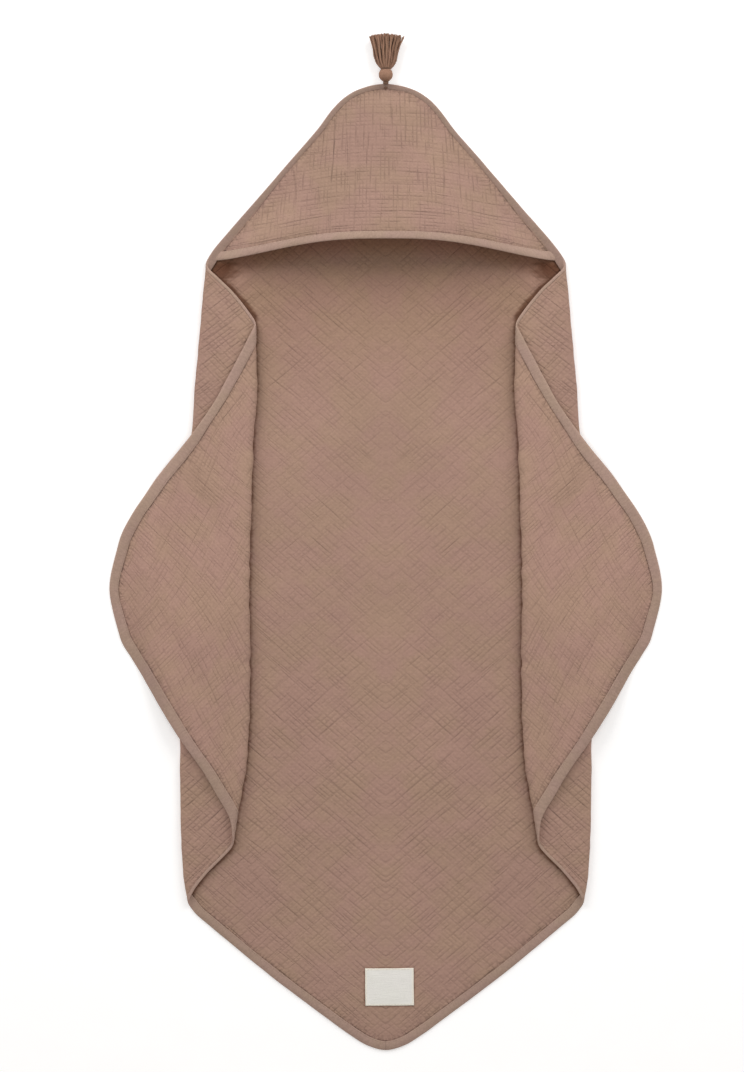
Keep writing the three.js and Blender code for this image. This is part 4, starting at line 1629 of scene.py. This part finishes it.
class TOWEL_OT_tassel(bpy.types.Operator):
    """Adds the tassel: its yarn-covered head, its collar and neck, and its skirt of twisted locks"""
    bl_idname = "towel.tassel"
    bl_label = "Tassel"

    def execute(self, context):
        settings = context.scene.towel_tassel
        self.add_head(settings.head_radius)
        self.add_wraps()
        self.add_skirt(settings)
        return {"FINISHED"}

    def add_head(self, head_radius):
        mesh = bmesh.new()
        bmesh.ops.create_uvsphere(
            mesh, u_segments=HEAD_RIBS * 6, v_segments=40, radius=1,
            matrix=Matrix.Rotation(-math.pi / 2, 4, "X"))
        flat = {}
        for vertex in mesh.verts:
            x, y, z = vertex.co
            turn = math.atan2(z, x)
            rib = HEAD_RIB_DEPTH * math.cos(HEAD_RIBS * turn + 2.0 * y) * smoothstep(math.hypot(x, z) / 0.5)
            uneven = HEAD_UNEVEN * noise.noise(Vector((turn * 2, y * 2, 1.0)))
            pinch = 1 - 0.10 * smoothstep((-y - 0.35) / 0.6)
            radius = head_radius + rib + uneven
            vertex.co = Vector((
                x * radius * pinch, TIP_Y + HEAD_UP + y * radius * HEAD_LENGTH, TASSEL_Z + z * radius * pinch))
            flat[vertex.index] = (HEAD_RIBS * turn / (2 * math.pi), y * head_radius)
        lay_map(mesh, flat)
        new_piece("tassel_head", mesh, yarn_material("head_yarn", 0.88), "tassel_yarn")

    def add_wraps(self):
        """The turns of yarn round the collar and the neck, and the knot that is sewn through the tape."""
        mesh = bmesh.new()
        for row in WRAPS:
            for k in range(row["turns"]):
                self.add_wrap(mesh, row["up"] + WRAP_PITCH * (k - (row["turns"] - 1) / 2), row["radius"])
        flattened = Matrix.Translation((0, TIP_Y + KNOT_UP, KNOT_Z)) @ Matrix.Diagonal((*KNOT_SIZE, 1))
        bmesh.ops.create_uvsphere(mesh, u_segments=20, v_segments=12, radius=1, matrix=flattened)
        # The wraps are the deep painted-shade copy of the yarn.
        new_piece("tassel_wraps", mesh, yarn_material("wrap_yarn", 0.42), "tassel_yarn")

    def add_wrap(self, mesh, up, radius):
        """One turn of yarn round the tassel's neck."""
        section = bmesh.ops.create_circle(
            mesh, segments=8, radius=WRAP_YARN, matrix=Matrix.Translation((radius, TIP_Y + up, TASSEL_Z)))
        verts = section["verts"]
        bmesh.ops.spin(
            mesh, geom=verts + list({edge for vertex in verts for edge in vertex.link_edges}),
            cent=(0, TIP_Y + up, TASSEL_Z), axis=(0, 1, 0), angle=2 * math.pi, steps=28, use_merge=True)

    def add_skirt(self, settings):
        chance = random.Random(TASSEL_SEED)
        curve = bpy.data.curves.new("skirt_lines", "CURVE")
        curve.dimensions = "3D"
        curve.bevel_depth = settings.yarn_radius
        curve.bevel_resolution = 1
        curve.use_fill_caps = True
        floor = settings.yarn_radius + 0.0002
        for line in lock_lines(settings, chance):
            twist = chance.uniform(120, 200) * chance.choice((-1, 1))
            for n in range(settings.yarns):
                spread = math.sqrt((n + 0.5) / settings.yarns) * YARN_SPREAD
                cut = chance.uniform(0.94, 1.0)
                spline = curve.splines.new("POLY")
                spline.points.add(YARN_STEPS)
                for k in range(YARN_STEPS + 1):
                    share = k / YARN_STEPS * cut
                    along = min(share * YARN_STEPS, YARN_STEPS - 1e-6)
                    on_line = line[int(along)].lerp(line[int(along) + 1], along - int(along))
                    open_up = 1 + 0.35 * smoothstep((share - 0.7) / 0.3)
                    turn = n * GOLDEN_ANGLE + twist * share * 0.037
                    spot = on_line + Vector((math.cos(turn), 0, math.sin(turn))) * spread * open_up
                    spot.z = max(spot.z, floor)
                    spline.points[k].co = (*spot, 1)
        holder = new_object("skirt_lines", curve)
        data = bpy.data.meshes.new_from_object(holder.evaluated_get(bpy.context.evaluated_depsgraph_get()))
        bpy.data.objects.remove(holder)
        bpy.data.curves.remove(curve)
        mesh = bmesh.new()
        mesh.from_mesh(data)
        bpy.data.meshes.remove(data)
        self.tone_yarns(mesh, settings, chance)
        new_piece("tassel_skirt", mesh, yarn_material("skirt_yarn", 1.0), "tassel_yarn", "tassel")

    def tone_yarns(self, mesh, settings, chance):
        """Gives each yarn its own tone, and a map that runs round and along it."""
        bmesh.ops.recalc_face_normals(mesh, faces=mesh.faces)
        tone = mesh.verts.layers.float_vector.new("tone")
        count = settings.locks * settings.yarns
        each = len(mesh.verts) // count
        lock_tones = [chance.random() for _ in range(settings.locks)]
        yarn_tones = [0.6 * lock_tones[k // settings.yarns] + 0.4 * chance.random() for k in range(count)]
        flat = {}
        for vertex in mesh.verts:
            vertex[tone] = (yarn_tones[min(vertex.index // each, count - 1)], 0, 0)
            flat[vertex.index] = (vertex.index % each / each, vertex.co.y)
        lay_map(mesh, flat)


# The stage

class TOWEL_OT_studio(bpy.types.Operator):
    """Adds the pale floor, the soft lights and the camera straight above"""
    bl_idname = "towel.studio"
    bl_label = "Studio"

    def execute(self, context):
        settings = context.scene.towel_studio
        floor = bmesh.new()
        bmesh.ops.create_circle(floor, cap_ends=True, segments=64, radius=FLOOR_HALF)
        mesh_object("studio_floor", floor, floor_material())
        self.add_camera(context.scene, settings.camera_height)
        beyond = Vector(KEY_PLACE)
        self.add_light("left_key", settings.key_power, KEY_SIZE, beyond * Vector((-1, 1, 1)))
        self.add_light("right_key", settings.key_power, KEY_SIZE, beyond)
        self.add_light("fill_light", settings.fill_power, FILL_SIZE, Vector(FILL_PLACE))
        world = bpy.data.worlds.new("soft_room")
        world.use_nodes = True
        background = world.node_tree.nodes["Background"]
        background.inputs["Color"].default_value = (*settings.room_colour, 1)
        background.inputs["Strength"].default_value = settings.room
        context.scene.world = world
        context.scene.view_settings.view_transform = "Standard"
        return {"FINISHED"}

    def add_camera(self, scene, height):
        data = bpy.data.cameras.new("overhead_camera")
        data.sensor_fit = "VERTICAL"
        data.sensor_height = 36
        data.lens = data.sensor_height * height / (FRAME_HEIGHT_PX * METRES_A_PIXEL)
        camera = new_object("overhead_camera", data)
        camera.location = (
            (FRAME_WIDTH_PX / 2 - MIDDLE_LINE_PX) * METRES_A_PIXEL,
            TIP_Y + (LOWER_TIP_PX - FRAME_HEIGHT_PX / 2) * METRES_A_PIXEL,
            height,
        )
        scene.camera = camera

    def add_light(self, name, power, size, place):
        data = bpy.data.lights.new(name, "AREA")
        data.shape = "DISK"
        data.energy = power
        data.size = size
        light = new_object(name, data)
        light.location = place
        light.rotation_euler = (-place).to_track_quat("-Z", "Y").to_euler()


OPERATORS = (
    TOWEL_OT_studio,
    TOWEL_OT_edge_binding,
    TOWEL_OT_hood_binding,
    TOWEL_OT_stitching,
    TOWEL_OT_panel,
    TOWEL_OT_hood,
    TOWEL_OT_label,
    TOWEL_OT_tassel,
)


class VIEW3D_PT_hooded_towel(bpy.types.Panel):
    """The towel's settings and the buttons that add its pieces"""
    bl_label = "Hooded towel"
    bl_space_type = "VIEW_3D"
    bl_region_type = "UI"
    bl_category = "Towel"

    def draw(self, context):
        for name, settings in SETTINGS.items():
            box = self.layout.box()
            for setting in settings.__annotations__:
                box.prop(getattr(context.scene, name), setting)
        for operator in OPERATORS:
            self.layout.operator(operator.bl_idname)


CLASSES = (*SETTINGS.values(), *OPERATORS, VIEW3D_PT_hooded_towel)


def register():
    for each in CLASSES:
        bpy.utils.register_class(each)
    for name, settings in SETTINGS.items():
        setattr(bpy.types.Scene, name, bpy.props.PointerProperty(type=settings))


def unregister():
    for name in SETTINGS:
        delattr(bpy.types.Scene, name)
    for each in reversed(CLASSES):
        bpy.utils.unregister_class(each)


def main():
    register()
    bpy.ops.towel.studio()
    bpy.ops.towel.edge_binding()
    bpy.ops.towel.hood_binding()
    bpy.ops.towel.stitching()
    bpy.ops.towel.panel()
    bpy.ops.towel.hood()
    bpy.ops.towel.label()
    bpy.ops.towel.tassel()


if __name__ == "__main__":
    main()
